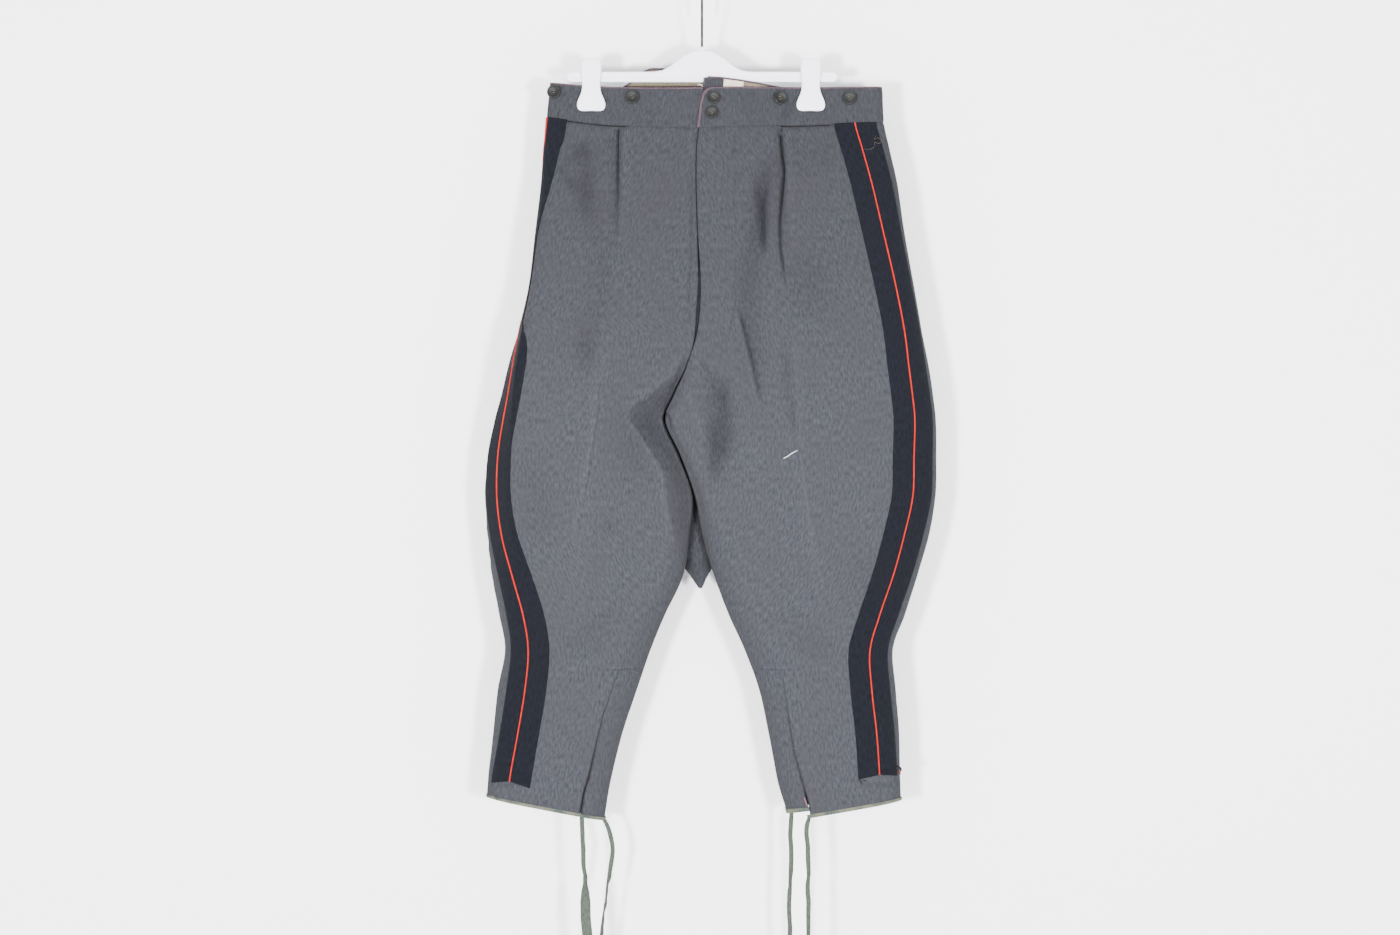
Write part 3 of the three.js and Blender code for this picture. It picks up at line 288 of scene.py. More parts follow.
def surface(half, row, v, share, face):
    """Points of the outer surface of one half, at row numbers v and shares of its width."""
    width = abs(row["x_out"] - row["x_in"])
    from_out, from_in = (1 - share) * width, share * width
    x = row["x_in"] + (row["x_out"] - row["x_in"]) * share
    z = row["z_in"] + (row["z_out"] - row["z_in"]) * share - row["sag"] * np.sin(np.pi * share)
    closed = np.clip((FORK_TOP - z) / (FORK_TOP - FORK_BOTTOM), 0, 1)
    base = row["deep_in"] + (row["deep_out"] - row["deep_in"]) * smooth(share)
    base = base + row["swell"] * np.sin(np.pi * share)
    out_left = 1 - np.clip(from_out / row["round_out"], 0, 1)
    in_left = 1 - np.clip(from_in / row["round_in"], 0, 1)
    cap_out = np.maximum(0, 1 - out_left ** row["edge"]) ** (1 / row["edge"])
    cap_in = np.sqrt(np.maximum(0, 1 - closed * in_left ** 1.7))
    held = np.clip(cap_out * cap_in * 1.4, 0, 1)
    deep = base * cap_out * cap_in * (1 - clip_pinch(x, z))
    deep = deep + fold_depth(half["folds"], face, x, z) * held
    deep = deep + np.where(v < WAIST_ROW, WAISTBAND_LIFT * cap_out, 0)
    if face == "front":
        if half["outward"] < 0:
            deep = deep + fork_facet(x, z) * held
        fly = ramp(from_in, FLY_WIDTH + FLY_FADE, FLY_WIDTH) * ramp(z, *FLY_TOP_FADE)
        deep = deep + half["fly"] * FLY_LIFT * fly
        return np.stack(np.broadcast_arrays(x, -deep, z), axis=-1)
    z = z + half["back_rise"] * ramp(from_in, *half["rise_widths"]) * ramp(z, *RISE_HEIGHTS)
    lean = half["lean"] * ramp(from_in, *LEAN_WIDTHS) * ramp(z, *LEAN_HEIGHTS)
    return np.stack(np.broadcast_arrays(x, deep + (LEAN_Y - deep) * lean, z), axis=-1)


def unit(vectors):
    return vectors / np.maximum(np.linalg.norm(vectors, axis=-1, keepdims=True), 1e-9)


def half_lines(name, rows):
    """Whole sections of one half: centre front or inseam, round the side, to the centre back."""
    half = HALVES[name]
    v = np.asarray(rows, float)[:, None]
    share = (0.5 - 0.5 * np.cos(np.pi * np.arange(FINE_STEPS + 1) / FINE_STEPS))[None, :]
    row = sections_at(half, v)
    front = surface(half, row, v, share, "front")
    back = surface(half, row, v, share[:, ::-1][:, 1:], "back")
    points = np.concatenate([front, back], axis=1)
    gaps = np.linalg.norm(np.diff(points, axis=1), axis=2)
    arcs = np.concatenate([np.zeros((len(v), 1)), np.cumsum(gaps, axis=1)], axis=1)
    along = np.gradient(points, axis=1)
    ends_meet = points[:, 0, 1] > -0.01
    wrapped = points[:, 1] - points[:, -2]
    along[ends_meet, 0] = wrapped[ends_meet]
    along[ends_meet, -1] = wrapped[ends_meet]
    down = np.gradient(points, axis=0) if len(v) > 1 else np.broadcast_to(-UP, points.shape)
    normals = unit(np.cross(along, down)) * -half["outward"]
    lines = {"name": name, "v": v[:, 0], "points": points, "normals": normals, "arcs": arcs,
             "total": arcs[:, -1], "turn": arcs[:, FINE_STEPS], "row": row}
    lines["crease"] = arcs_at_x(lines, row["crease"][:, 0])
    seam = row["seam"][:, 0]
    seam_x = row["x_out"][:, 0] - half["outward"] * np.maximum(0, seam)
    lines["seam"] = np.where(seam < 0, lines["turn"] - seam, arcs_at_x(lines, seam_x))
    return lines


def arcs_at_x(lines, xs):
    """Arc where the front of each section passes its x."""
    out = HALVES[lines["name"]]["outward"]
    front = slice(0, FINE_STEPS + 1)
    return np.array([np.interp(out * x, out * lines["points"][r, front, 0], lines["arcs"][r, front])
                     for r, x in enumerate(xs)])


def at_arcs(lines, arcs):
    """Points, directions and cloth coordinates of sections, at rows of arcs."""
    both = np.concatenate([lines["points"], lines["normals"]], axis=2)
    found = np.empty(arcs.shape + (6,))
    for r in range(len(arcs)):
        for k in range(6):
            found[r, :, k] = np.interp(arcs[r], lines["arcs"][r], both[r, :, k])
    points = found[..., :3]
    coords = np.stack([arcs - lines["seam"][:, None], points[..., 2], np.zeros(arcs.shape)], axis=-1)
    return {"points": points, "normals": unit(found[..., 3:]), "coords": coords}


def rows_between(name, start, end, step=GRID_STEP):
    """Row numbers with an even spacing down the leg, with closer ones at both ends."""
    v = np.linspace(start, end, 400)
    z = sections_at(HALVES[name], v)["z_out"]
    travelled = np.concatenate([[0], np.cumsum(abs(np.diff(z)))])
    count = max(3, int(travelled[-1] / step))
    near = min(0.7, step / 4)
    wanted = np.linspace(0, travelled[-1], count + 1)
    wanted = np.sort(np.concatenate([wanted, [near, travelled[-1] - near]]))
    return np.interp(wanted, travelled, v)


def spread(start, end, count):
    """Even steps from start to end, which may be rows of values."""
    return start + (end - start) * np.linspace(0, 1, count + 1)


# Meshes

def finish_mesh(name, vertices, faces, materials, coords=None, indices=None, sharp=None):
    """A smooth piece from points in millimetres, with its cloth coordinates."""
    mesh = bpy.data.meshes.new(name)
    mesh.from_pydata((np.asarray(vertices) * MM).tolist(), [], faces)
    for material in materials:
        mesh.materials.append(material)
    mesh.polygons.foreach_set("use_smooth", [True] * len(faces))
    if indices is not None:
        mesh.polygons.foreach_set("material_index", indices)
    if coords is None:
        coords = vertices
    cloth = mesh.attributes.new("cloth", "FLOAT_VECTOR", "POINT")
    cloth.data.foreach_set("vector", (np.asarray(coords, float) * MM).ravel())
    if sharp is not None:
        mesh.set_sharp_from_angle(angle=math.radians(sharp))
    mesh.update()
    piece = bpy.data.objects.new(name, mesh)
    bpy.context.scene.collection.objects.link(piece)
    return piece


def place(piece, replaced=()):
    """Puts a piece on the part's one body, and hides the nodes that it stands for."""
    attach(piece, "root")
    if replaced:
        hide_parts(*replaced)


def cloth_shell(name, grid, thick, lift, materials, roll=0.45):
    """A closed wall with rolled edges: its outer face is lift above the grid."""
    points, normals, coords = grid["points"], grid["normals"], grid["coords"]
    rows, columns = points.shape[:2]
    outer = points + normals * lift
    inner = points + normals * (lift - thick)
    top = [(0, c) for c in range(columns)]
    side = [(r, columns - 1) for r in range(1, rows)]
    bottom = [(rows - 1, c) for c in range(columns - 2, -1, -1)]
    back = [(r, 0) for r in range(rows - 2, 0, -1)]
    border = top + side + bottom + back
    rim = []
    for r, c in border:
        away = np.zeros(3)
        if r in (0, rows - 1):
            away += unit(points[r, c] - points[1 if r == 0 else rows - 2, c])
        if c in (0, columns - 1):
            away += unit(points[r, c] - points[r, 1 if c == 0 else columns - 2])
        rim.append((outer[r, c] + inner[r, c]) / 2 + unit(away) * thick * roll)
    count = rows * columns
    vertices = np.concatenate([outer.reshape(-1, 3), inner.reshape(-1, 3), np.array(rim)])
    r, c = np.meshgrid(np.arange(rows - 1), np.arange(columns - 1), indexing="ij")
    i = (r * columns + c).ravel()
    front = np.stack([i, i + columns, i + columns + 1, i + 1], axis=1)
    behind = front[:, ::-1] + count
    edge = np.array([r * columns + c for r, c in border])
    after = np.roll(edge, -1)
    ring = 2 * count + np.arange(len(edge))
    ring_after = np.roll(ring, -1)
    rim_front = np.stack([edge, after, ring_after, ring], axis=1)
    rim_behind = np.stack([ring, ring_after, after + count, edge + count], axis=1)
    faces = np.concatenate([front, behind, rim_front, rim_behind])
    a, b, d = (outer.reshape(-1, 3)[front[len(front) // 2, k]] for k in (0, 1, 3))
    if np.dot(np.cross(b - a, d - a), normals.reshape(-1, 3)[front[len(front) // 2, 0]]) < 0:
        faces = faces[:, ::-1]
    flat = coords.reshape(-1, 3)
    indices = None
    if len(materials) > 1:
        indices = [0] * len(front) + [1] * len(behind) + [0] * (2 * len(edge))
    return finish_mesh(name, vertices, faces.tolist(), materials,
                       np.concatenate([flat, flat, flat[edge]]), indices)


def tube(name, rings, materials, coords=None, sharp=None, closed=False):
    """A solid through rings of points, with flat ends unless it closes on itself."""
    rings = np.asarray(rings)
    count, sides = rings.shape[:2]
    faces = []
    for r in range(count if closed else count - 1):
        a, b = r * sides, ((r + 1) % count) * sides
        for i in range(sides):
            j = (i + 1) % sides
            faces.append([a + i, a + j, b + j, b + i])
    if not closed:
        faces.append(list(range(sides))[::-1])
        faces.append([(count - 1) * sides + i for i in range(sides)])
    vertices = rings.reshape(-1, 3)
    piece = finish_mesh(name, vertices, faces, materials, coords, None, sharp)
    fix_normals(piece)
    return piece


def fix_normals(piece):
    solid = bmesh.new()
    solid.from_mesh(piece.data)
    bmesh.ops.recalc_face_normals(solid, faces=solid.faces)
    solid.to_mesh(piece.data)
    solid.free()


def round_rings(path, radius, sides=10, flat=1.0, across=(0, 1, 0)):
    """Rings round a path. radius may change along it, and flat squeezes them against across."""
    path = np.asarray(path, float)
    radius = np.broadcast_to(radius, len(path))
    tangent = unit(np.gradient(path, axis=0))
    level = unit(np.asarray(across, float) - tangent * (tangent @ np.asarray(across, float))[:, None])
    other = np.cross(tangent, level)
    angles = 2 * np.pi * np.arange(sides) / sides
    return np.stack([path + level * (radius * flat * math.cos(a))[:, None] +
                     other * (radius * math.sin(a))[:, None] for a in angles], axis=1)


def joined(name, pieces):
    """Several meshes as one piece, with the materials of the first."""
    for piece in pieces[1:]:
        piece.data.materials.clear()
    bpy.ops.object.select_all(action="DESELECT")
    for piece in pieces:
        piece.select_set(True)
    bpy.context.view_layer.objects.active = pieces[0]
    bpy.ops.object.join()
    pieces[0].name = name
    return pieces[0]


def threads(name, runs, radius, material, sides=6):
    """Short lengths of thread, each a run of points, as one piece."""
    vertices, faces = [], []
    for run in runs:
        rings = round_rings(run, radius * np.sin(np.linspace(0.35, np.pi - 0.35, len(run))) ** 0.5, sides)
        start = len(vertices)
        vertices.extend(rings.reshape(-1, 3))
        for r in range(len(run) - 1):
            for i in range(sides):
                j = (i + 1) % sides
                a, b = start + r * sides, start + (r + 1) * sides
                faces.append([a + i, a + j, b + j, b + i])
        faces.append([start + i for i in range(sides)][::-1])
        faces.append([start + (len(run) - 1) * sides + i for i in range(sides)])
    piece = finish_mesh(name, vertices, faces, [material])
    fix_normals(piece)
    return piece


# Materials

def node(tree, kind, inputs=None, **settings):
    made = tree.nodes.new(kind)
    for key, value in settings.items():
        setattr(made, key, value)
    for key, value in (inputs or {}).items():
        if isinstance(value, bpy.types.NodeSocket):
            tree.links.new(value, made.inputs[key])
        else:
            made.inputs[key].default_value = value
    return made


def sums(tree, operation, a, b=0.0, c=0.0):
    return node(tree, "ShaderNodeMath", {0: a, 1: b, 2: c}, operation=operation).outputs[0]


def fitted(tree, value, low, high, to_low=0.0, to_high=1.0):
    """A value between low and high, as one between to_low and to_high."""
    facts = {0: value, 1: low, 2: high, 3: to_low, 4: to_high}
    return node(tree, "ShaderNodeMapRange", facts).outputs[0]


def effect(name, inputs, outputs):
    """A new group of nodes with its named sockets."""
    group = bpy.data.node_groups.new(name, "ShaderNodeTree")
    for key, value in inputs.items():
        socket = group.interface.new_socket(key, in_out="INPUT", socket_type="NodeSocketFloat")
        socket.default_value = value
    for key in outputs:
        group.interface.new_socket(key, in_out="OUTPUT", socket_type="NodeSocketFloat")
    return group, node(group, "NodeGroupInput").outputs, node(group, "NodeGroupOutput").inputs


def noise(tree, coords, scale, detail=2.0, stretch=(1, 1, 1)):
    placed = node(tree, "ShaderNodeMapping", {"Vector": coords, "Scale": stretch}).outputs[0]
    return node(tree, "ShaderNodeTexNoise", {"Vector": placed, "Scale": scale, "Detail": detail}).outputs[0]


def cloth_coords(tree):
    return node(tree, "ShaderNodeAttribute", attribute_name="cloth").outputs["Vector"]


def object_coords(tree):
    return node(tree, "ShaderNodeTexCoord").outputs["Object"]


# The twill's slant, its picks to a rib, and the share of the relief that they take up
TWILL_SLANT, TWILL_PICKS, PICK_SHARE = 1.6, 1.7, 0.35


def ridges(tree, along, turns, spacing):
    """Ridges from 0 to 1, turns of them to each spacing."""
    turn = sums(tree, "DIVIDE", sums(tree, "MULTIPLY", along, 2 * math.pi * turns), spacing)
    return sums(tree, "MULTIPLY_ADD", sums(tree, "SINE", turn), 0.5, 0.5)


def make_twill():
    """Slanted ribs of wool cloth, in metres. Height, Flecks and Clouds run from 0 to 1. The last output, the
    painted shade and highlight that the points carry, runs round 1.
    """
    group, given, out = effect("wool_twill", {"Rib": 0.0011, "Nap": 0.4},
                               ("Height", "Flecks", "Clouds", "PaintedShading"))
    links = group.links
    coords = cloth_coords(group)
    axes = node(group, "ShaderNodeSeparateXYZ", {0: coords}).outputs
    ribs = ridges(group, sums(group, "MULTIPLY_ADD", axes[0], TWILL_SLANT, axes[1]), 1, given["Rib"])
    picks = ridges(group, axes[1], TWILL_PICKS, given["Rib"])
    ribs = sums(group, "MULTIPLY", ribs, 1 - PICK_SHARE)
    twilled = sums(group, "MULTIPLY_ADD", picks, PICK_SHARE, ribs)
    fuzz = noise(group, coords, 900, 4)
    mixed = node(group, "ShaderNodeMix", {0: given["Nap"], 2: twilled, 3: fuzz}).outputs[0]
    links.new(mixed, out["Height"])
    links.new(noise(group, coords, 420, 5, (1, 0.32, 1)), out["Flecks"])
    links.new(noise(group, object_coords(group), 22, 4, (1, 1, 0.6)), out["Clouds"])
    links.new(sums(group, "MULTIPLY_ADD", axes[2], 1 / MM, 1.0), out["PaintedShading"])
    return group


def make_plain_weave():
    """Over and under threads of tape. Thread is their spacing in metres, and outputs run from 0 to 1."""
    group, given, out = effect("plain_weave", {"Thread": 0.0006}, ("Height", "Flecks", "Blotches"))
    coords = cloth_coords(group)
    axes = node(group, "ShaderNodeSeparateXYZ", {0: coords}).outputs
    waves = []
    for axis in (0, 1):
        turn = sums(group, "DIVIDE", sums(group, "MULTIPLY", axes[axis], math.pi), given["Thread"])
        waves.append(sums(group, "SINE", turn))
    crossed = sums(group, "MULTIPLY_ADD", sums(group, "MULTIPLY", *waves), 0.5, 0.5)
    group.links.new(crossed, out["Height"])
    group.links.new(noise(group, coords, 500, 3, (1, 0.4, 1)), out["Flecks"])
    group.links.new(noise(group, coords, 55, 2), out["Blotches"])
    return group


def make_handling():
    """Fine scratches and dust from use. Both outputs run from 0 to 1."""
    group, given, out = effect("handling_marks", {"Amount": 0.5, "Scale": 60.0}, ("Scratches", "Dust"))
    coords = object_coords(group)
    lines = noise(group, coords, given["Scale"], 3, (9, 9, 0.8))
    fine = fitted(group, lines, 0.52, 0.7)
    group.links.new(sums(group, "MULTIPLY", fine, given["Amount"]), out["Scratches"])
    settled = fitted(group, noise(group, coords, 140, 5), 0.5, 0.75)
    group.links.new(sums(group, "MULTIPLY", settled, given["Amount"]), out["Dust"])
    return group


TWILL, PLAIN_WEAVE, HANDLING = make_twill(), make_plain_weave(), make_handling()


def new_material(name):
    material = bpy.data.materials.new(name)
    material.use_nodes = True
    tree = material.node_tree
    return material, tree, tree.nodes["Principled BSDF"]


def put_group(tree, group, **values):
    made = node(tree, "ShaderNodeGroup", node_tree=group)
    for key, value in values.items():
        made.inputs[key].default_value = value
    return made.outputs


def mix_colour(tree, amount, first, second, how="MIX"):
    made = node(tree, "ShaderNodeMix", {0: amount, 6: first, 7: second}, data_type="RGBA", blend_type=how)
    return made.outputs[2]


def colour(red, green, blue):
    """A plain colour from 0 to 255 values, as a linear one."""
    return (*(((c / 255 + 0.055) / 1.055) ** 2.4 if c > 10 else c / 3295 for c in (red, green, blue)), 1)


def set_finish(shader, values):
    for key, value in values.items():
        shader.inputs[key].default_value = value


def add_relief(tree, shader, height, strength, distance):
    relief = node(tree, "ShaderNodeBump", {"Height": height, "Strength": strength, "Distance": distance})
    tree.links.new(relief.outputs[0], shader.inputs["Normal"])


def wool(name, dark, light, cloud, rib, nap, bump, sheen, rough=0.92):
    """Fulled cloth with ribs rib apart, flecked from dark to light, in cloudier patches."""
    material, tree, shader = new_material(name)
    twill = put_group(tree, TWILL, Rib=rib, Nap=nap)
    flecked = mix_colour(tree, fitted(tree, twill["Flecks"], 0.3, 0.7), dark, light)
    clouded = mix_colour(tree, fitted(tree, twill["Clouds"], 0.35, 0.7, 0, 0.45), flecked, cloud)
    # Painted shade: the colour darkens in the ribs' troughs and follows the painted shade and highlight that
    # the points carry.
    shade = sums(tree, "MULTIPLY", fitted(tree, twill["Height"], 0.1, 0.8, 0.8, 1.06), twill["PaintedShading"])
    tree.links.new(mix_colour(tree, 1.0, clouded, shade, "MULTIPLY"), shader.inputs["Base Color"])
    set_finish(shader, {"Roughness": rough, "Specular IOR Level": 0.07, "Sheen Weight": sheen,
                        "Sheen Roughness": 0.5})
    add_relief(tree, shader, twill["Height"], bump, 0.0004)
    return material


def woven(name, dark, light, thread, bump, blotches=None):
    """Tape, lining or thread, flecked from dark to light, and worn in blotches."""
    material, tree, shader = new_material(name)
    weave = put_group(tree, PLAIN_WEAVE, Thread=thread)
    flecked = mix_colour(tree, fitted(tree, weave["Flecks"], 0.3, 0.7), dark, light)
    if blotches:
        flecked = mix_colour(tree, fitted(tree, weave["Blotches"], 0.42, 0.62), flecked, blotches)
    shade = fitted(tree, weave["Height"], 0, 1, 0.82, 1.05)
    tree.links.new(mix_colour(tree, 1.0, flecked, shade, "MULTIPLY"), shader.inputs["Base Color"])
    set_finish(shader, {"Roughness": 0.85, "Specular IOR Level": 0.12, "Sheen Weight": 0.05})
    add_relief(tree, shader, weave["Height"], bump, 0.0003)
    return material


def handled(name, base, worn, rough, metal, amount, specular=0.5):
    """A hard finish that dust and scratches have dulled."""
    material, tree, shader = new_material(name)
    marks = put_group(tree, HANDLING, Amount=amount)
    dusty = mix_colour(tree, marks["Dust"], base, worn)
    tree.links.new(mix_colour(tree, marks["Scratches"], dusty, worn), shader.inputs["Base Color"])
    dulled = fitted(tree, marks["Dust"], 0, 1, rough, min(1, rough + 0.35))
    tree.links.new(dulled, shader.inputs["Roughness"])
    set_finish(shader, {"Metallic": metal, "Specular IOR Level": specular})
    add_relief(tree, shader, marks["Scratches"], 0.15, 0.0002)
    return material


GREY_WOOL = wool("grey_wool", colour(38, 39, 43), colour(56, 57, 62), colour(48, 47, 50),
                 rib=0.0011, nap=0.45, bump=0.5, sheen=0.03)
BLACK_WOOL = wool("black_napped_wool", colour(9, 10, 14), colour(18, 20, 27), colour(16, 16, 21),
                  rib=0.0016, nap=0.85, bump=0.5, sheen=0.02)
RED_FELT = wool("orange_red_felt", colour(142, 18, 12), colour(172, 35, 24), colour(158, 28, 19),
                rib=0.0008, nap=0.9, bump=0.3, sheen=0.06, rough=0.85)
ROSE_FELT = wool("rose_piping_cloth", colour(58, 46, 52), colour(78, 64, 70), colour(68, 54, 60),
                 rib=0.0008, nap=0.6, bump=0.4, sheen=0.03, rough=0.88)
GREEN_TAPE = woven("green_tape", colour(48, 55, 47), colour(70, 77, 69), thread=0.0007, bump=0.5)
BINDING_TAPE = woven("hem_binding_tape", colour(42, 52, 47), colour(68, 76, 69), thread=0.0007, bump=0.5,
                     blotches=colour(86, 87, 73))
CREAM_TAPE = woven("cream_cotton", colour(170, 160, 140), colour(198, 190, 174), thread=0.0007, bump=0.4)
LINING = woven("beige_lining", colour(86, 78, 66), colour(112, 103, 88), thread=0.0006, bump=0.4)
# Each thread from its dark flecks to its light ones
THREAD_COLOURS = {
    "grey_thread": ((44, 46, 50), (66, 69, 73)),
    "dark_thread": ((16, 15, 17), (32, 29, 31)),
    "rose_thread": ((40, 26, 32), (60, 42, 48)),
    "rose_lining": ((82, 54, 64), (112, 82, 92)),
    "red_thread": ((142, 18, 12), (172, 35, 24)),
    "white_thread": ((190, 190, 188), (226, 226, 224)),
    "brown_thread": ((62, 53, 42), (92, 80, 62)),
}
THREADS = {thread_name: woven(thread_name, colour(*dark), colour(*light), thread=0.0003, bump=0.4)
           for thread_name, (dark, light) in THREAD_COLOURS.items()}
BUTTON_METAL = handled("dark_button_metal", colour(11, 12, 12), colour(34, 34, 33),
                       rough=0.5, metal=0.0, amount=0.6, specular=0.22)
WHITE_PLASTIC = handled("white_moulded_plastic", colour(226, 226, 234), colour(196, 196, 200),
                        rough=0.3, metal=0.0, amount=0.18)
BLACK_WIRE = handled("black_coated_wire", colour(14, 14, 17), colour(40, 40, 43),
                     rough=0.35, metal=0.3, amount=0.4)


# Camera, level and square to the front: where it stands, in metres, its lens and its sensor's width
CAMERA_AT = (-0.0025, -4.215, -0.598)
LENS, SENSOR_WIDTH = 85, 36


def aim_camera():
    data = bpy.data.cameras.new("camera")
    data.lens = LENS
    data.sensor_width = SENSOR_WIDTH
    camera = bpy.data.objects.new("camera", data)
    camera.location = CAMERA_AT
    camera.rotation_euler = (math.pi / 2, 0, 0)
    bpy.context.scene.collection.objects.link(camera)
    bpy.context.scene.camera = camera


# Ties: half, arc round the hem from the inseam, row, drop, route of x, z from there, and how the
# folded tape turns: distance down, how far its two halves spread and which way it faces, in degrees
TAPE_HALF, FOLD_HALF, TAPE_THICK = 6.6, 0.9, 0.55
TIE_INSET, TIE_STEPS = 1.2, 150
TIES = {
    "tie_right_a": ("right", 33, HEM_ROW, 1.7,
                    [[0, 0], [1, -19], [2, -41], [2.5, -60], [4, -73], [4.5, -79], [5, -95], [5.5, -110],
                     [6, -129], [8, -150], [8, -190], [6, -230], [7, -279]],
                    [[0, 12, 45], [18, 14, 32], [56, 14, 30], [70, 16, 58], [79, 20, 84], [92, 45, 88],
                     [108, 78, 90], [130, 88, 90], [150, 85, 84], [200, 60, 70], [280, 50, 50]]),
    "tie_right_b": ("right", -3, HEM_ROW, 1.7,
                    [[0, 0], [4, -8], [7.5, -19], [10, -30], [10.5, -40], [8.5, -54], [6.5, -66], [3.5, -83],
                     [2, -98], [-0.5, -114], [-3, -132], [-5, -157], [-5, -200], [-3, -240], [-4, -276]],
                    [[0, 12, 50], [18, 14, 36], [30, 18, 4], [48, 18, 6], [62, 14, 34], [84, 9, 70],
                     [112, 9, 78], [132, 12, 72], [158, 14, 60], [220, 20, 30], [280, 30, 10]]),
    "tie_left_c": ("left", 6, PLACKET_END["left"], 0.8,
                   [[0, 0], [-0.5, -15], [-1, -29], [0, -46], [0, -63], [-1, -78], [-1.5, -91], [-2.5, -109],
                    [-2.5, -125], [-2, -140], [-1.5, -156], [-2, -200], [-1, -240], [-2, -280]],
                   [[0, 10, 50], [14, 14, 16], [30, 16, 8], [48, 16, 10], [64, 14, 22], [80, 12, 44],
                    [94, 12, 52], [108, 18, 10], [126, 18, 0], [140, 12, 42], [156, 16, 20], [280, 30, 40]]),
    "tie_left_d": ("left", 32, HEM_ROW, 1.7,
                   [[0, 0], [-2.5, -11], [-3, -21], [-1.5, -35], [-1, -52], [-0.5, -70], [-1, -77],
                    [-1.5, -92], [-0.5, -107], [-0.5, -126], [-0.5, -154], [-1, -195], [0, -240], [-1, -280]],
                   [[0, 10, 66], [10, 14, 22], [22, 14, 14], [44, 16, 12], [64, 14, 30], [76, 10, 62],
                    [90, 16, 16], [108, 14, 14], [126, 20, 0], [154, 28, 0], [220, 30, 40], [280, 40, 20]]),
}


def smooth_route(points, count):
    """An even walk along a centripetal curve through the points."""
    points = np.asarray(points, float)
    knots = np.concatenate([[0], np.cumsum(np.linalg.norm(np.diff(points, axis=0), axis=1) ** 0.5)])
    slopes = np.gradient(points, knots, axis=0)
    fine = []
    for i in range(len(points) - 1):
        span = knots[i + 1] - knots[i]
        t = np.linspace(0, 1, 24, endpoint=False)[:, None]
        fine.append(points[i] * (2 * t ** 3 - 3 * t ** 2 + 1) + points[i + 1] * (3 * t ** 2 - 2 * t ** 3) +
                    slopes[i] * span * (t ** 3 - 2 * t ** 2 + t) + slopes[i + 1] * span * (t ** 3 - t ** 2))
    fine = np.concatenate(fine + [points[-1:]])
    walked = np.concatenate([[0], np.cumsum(np.linalg.norm(np.diff(fine, axis=0), axis=1))])
    even = np.linspace(0, walked[-1], count)
    return np.stack([np.interp(even, walked, fine[:, k]) for k in range(3)], axis=1), even


# How far each tie hangs beside its solid
TIE_SHIFT = {"tie_right_a": np.array([-6, -0.6, 1]), "tie_right_b": np.zeros(3),
             "tie_left_c": np.array([3.6, -2, 0.5]), "tie_left_d": np.array([2.2, 0, 3.4])}


def hang_tie(name, half, arc, row, drop, route, turns):
    """A tape folded lengthwise, from under the hem down its route."""
    lines = half_lines(half, [row - 0.03, row])
    total = lines["total"][1]
    on_hem = at_arcs(lines, np.array([[0], [total + arc if arc < 0 else arc]]))["points"][1, 0]
    anchor = on_hem + [0, TIE_INSET if on_hem[1] < 0 else -TIE_INSET, -drop]
    path, walked = smooth_route([anchor + [x, 0, z] + TIE_SHIFT[name] for x, z in route],
                                TIE_STEPS)
    turns = np.array(turns)
    spread_by, facing = (np.radians(np.interp(walked, turns[:, 0], turns[:, k])) for k in (1, 2))
    crumple = 0.08 * np.sin(walked / 5.3) + 0.06 * np.sin(walked / 2.9 + 1)
    rings = []
    for centre, opened, angle, waver in zip(path, spread_by, facing, crumple):
        profile = []
        for arm in (-1, 1):
            reach = np.linspace(FOLD_HALF, TAPE_HALF, 4)[::arm]
            bend = angle + arm * (opened + waver * reach / TAPE_HALF)
            profile.append(np.stack([reach * np.cos(bend), reach * np.sin(bend)], axis=1))
        profile = np.concatenate(profile)
        profile -= (profile[0] + profile[-1] + 2 * profile[3]) / 4
        edge = unit(np.gradient(profile, axis=0))
        sides = np.stack([-edge[:, 1], edge[:, 0]], axis=1) * TAPE_THICK / 2
        loop = np.concatenate([profile + sides, (profile - sides)[::-1]])
        rings.append(np.stack([centre[0] + loop[:, 0], centre[1] + loop[:, 1],
                               np.full(len(loop), centre[2])], axis=1))
    rings = np.array([rings[0] + UP * (drop - 0.1)] + rings)
    walked = np.concatenate([[-drop], walked])
    across = np.concatenate([np.linspace(-TAPE_HALF, TAPE_HALF, 8), np.linspace(TAPE_HALF, -TAPE_HALF, 8)])
    coords = np.stack(np.broadcast_arrays(across[None, :], walked[:, None], 0.0), axis=-1).reshape(-1, 3)
    tie = tube(name + "_tape", rings, [GREEN_TAPE], coords)
    place(tie, [name])


aim_camera()
for tie_name, tie_facts in TIES.items():
    hang_tie(tie_name, *tie_facts)


# Panels

# Painted shade and highlight, as shares of the cloth's colour: for each mm of a crease and of a main fold,
# darker where it sinks and lighter where it stands, inside the fork's ridge, and darker towards the waist
CREASE_PAINTED_SHADING, FOLD_PAINTED_SHADING, FORK_PAINTED_SHADE, WAIST_PAINTED_SHADE = 0.13, 0.03, 0.12, 0.17
FORK_PAINTED_SHADE_EDGE, FORK_PAINTED_SHADE_HEAD = 5, (-448, -466)
WAIST_SHADE_HEIGHTS = (-640, -200)

# How wide the fly, the legs' front edges under the fork and the calf slits stand open, by height
FLY_OPENING = np.array([[-470, 0.3], [-462, 0.8], [-445, 1.6], [-425, 4.1], [-396, 5.6], [-369, 4.6],
                        [-337, 3.2], [-303, 1.5], [-170, 1.3]])
FORK_OPENING = np.array([[-690, 0], [-650, 1.0], [-600, 2.0], [-560, 2.4], [-545, 2.0], [-530, 0]])
SLIT_OPENING = {
    "right": np.array([[-1047, 2.4], [-990, 1.8], [-930, 1.0], [-860, 0.5]]),
    "left": np.array([[-1047, 0.8], [-1028, 1.0], [-1010, 0.8], [-930, 0.6], [-860, 0.5]]),
}

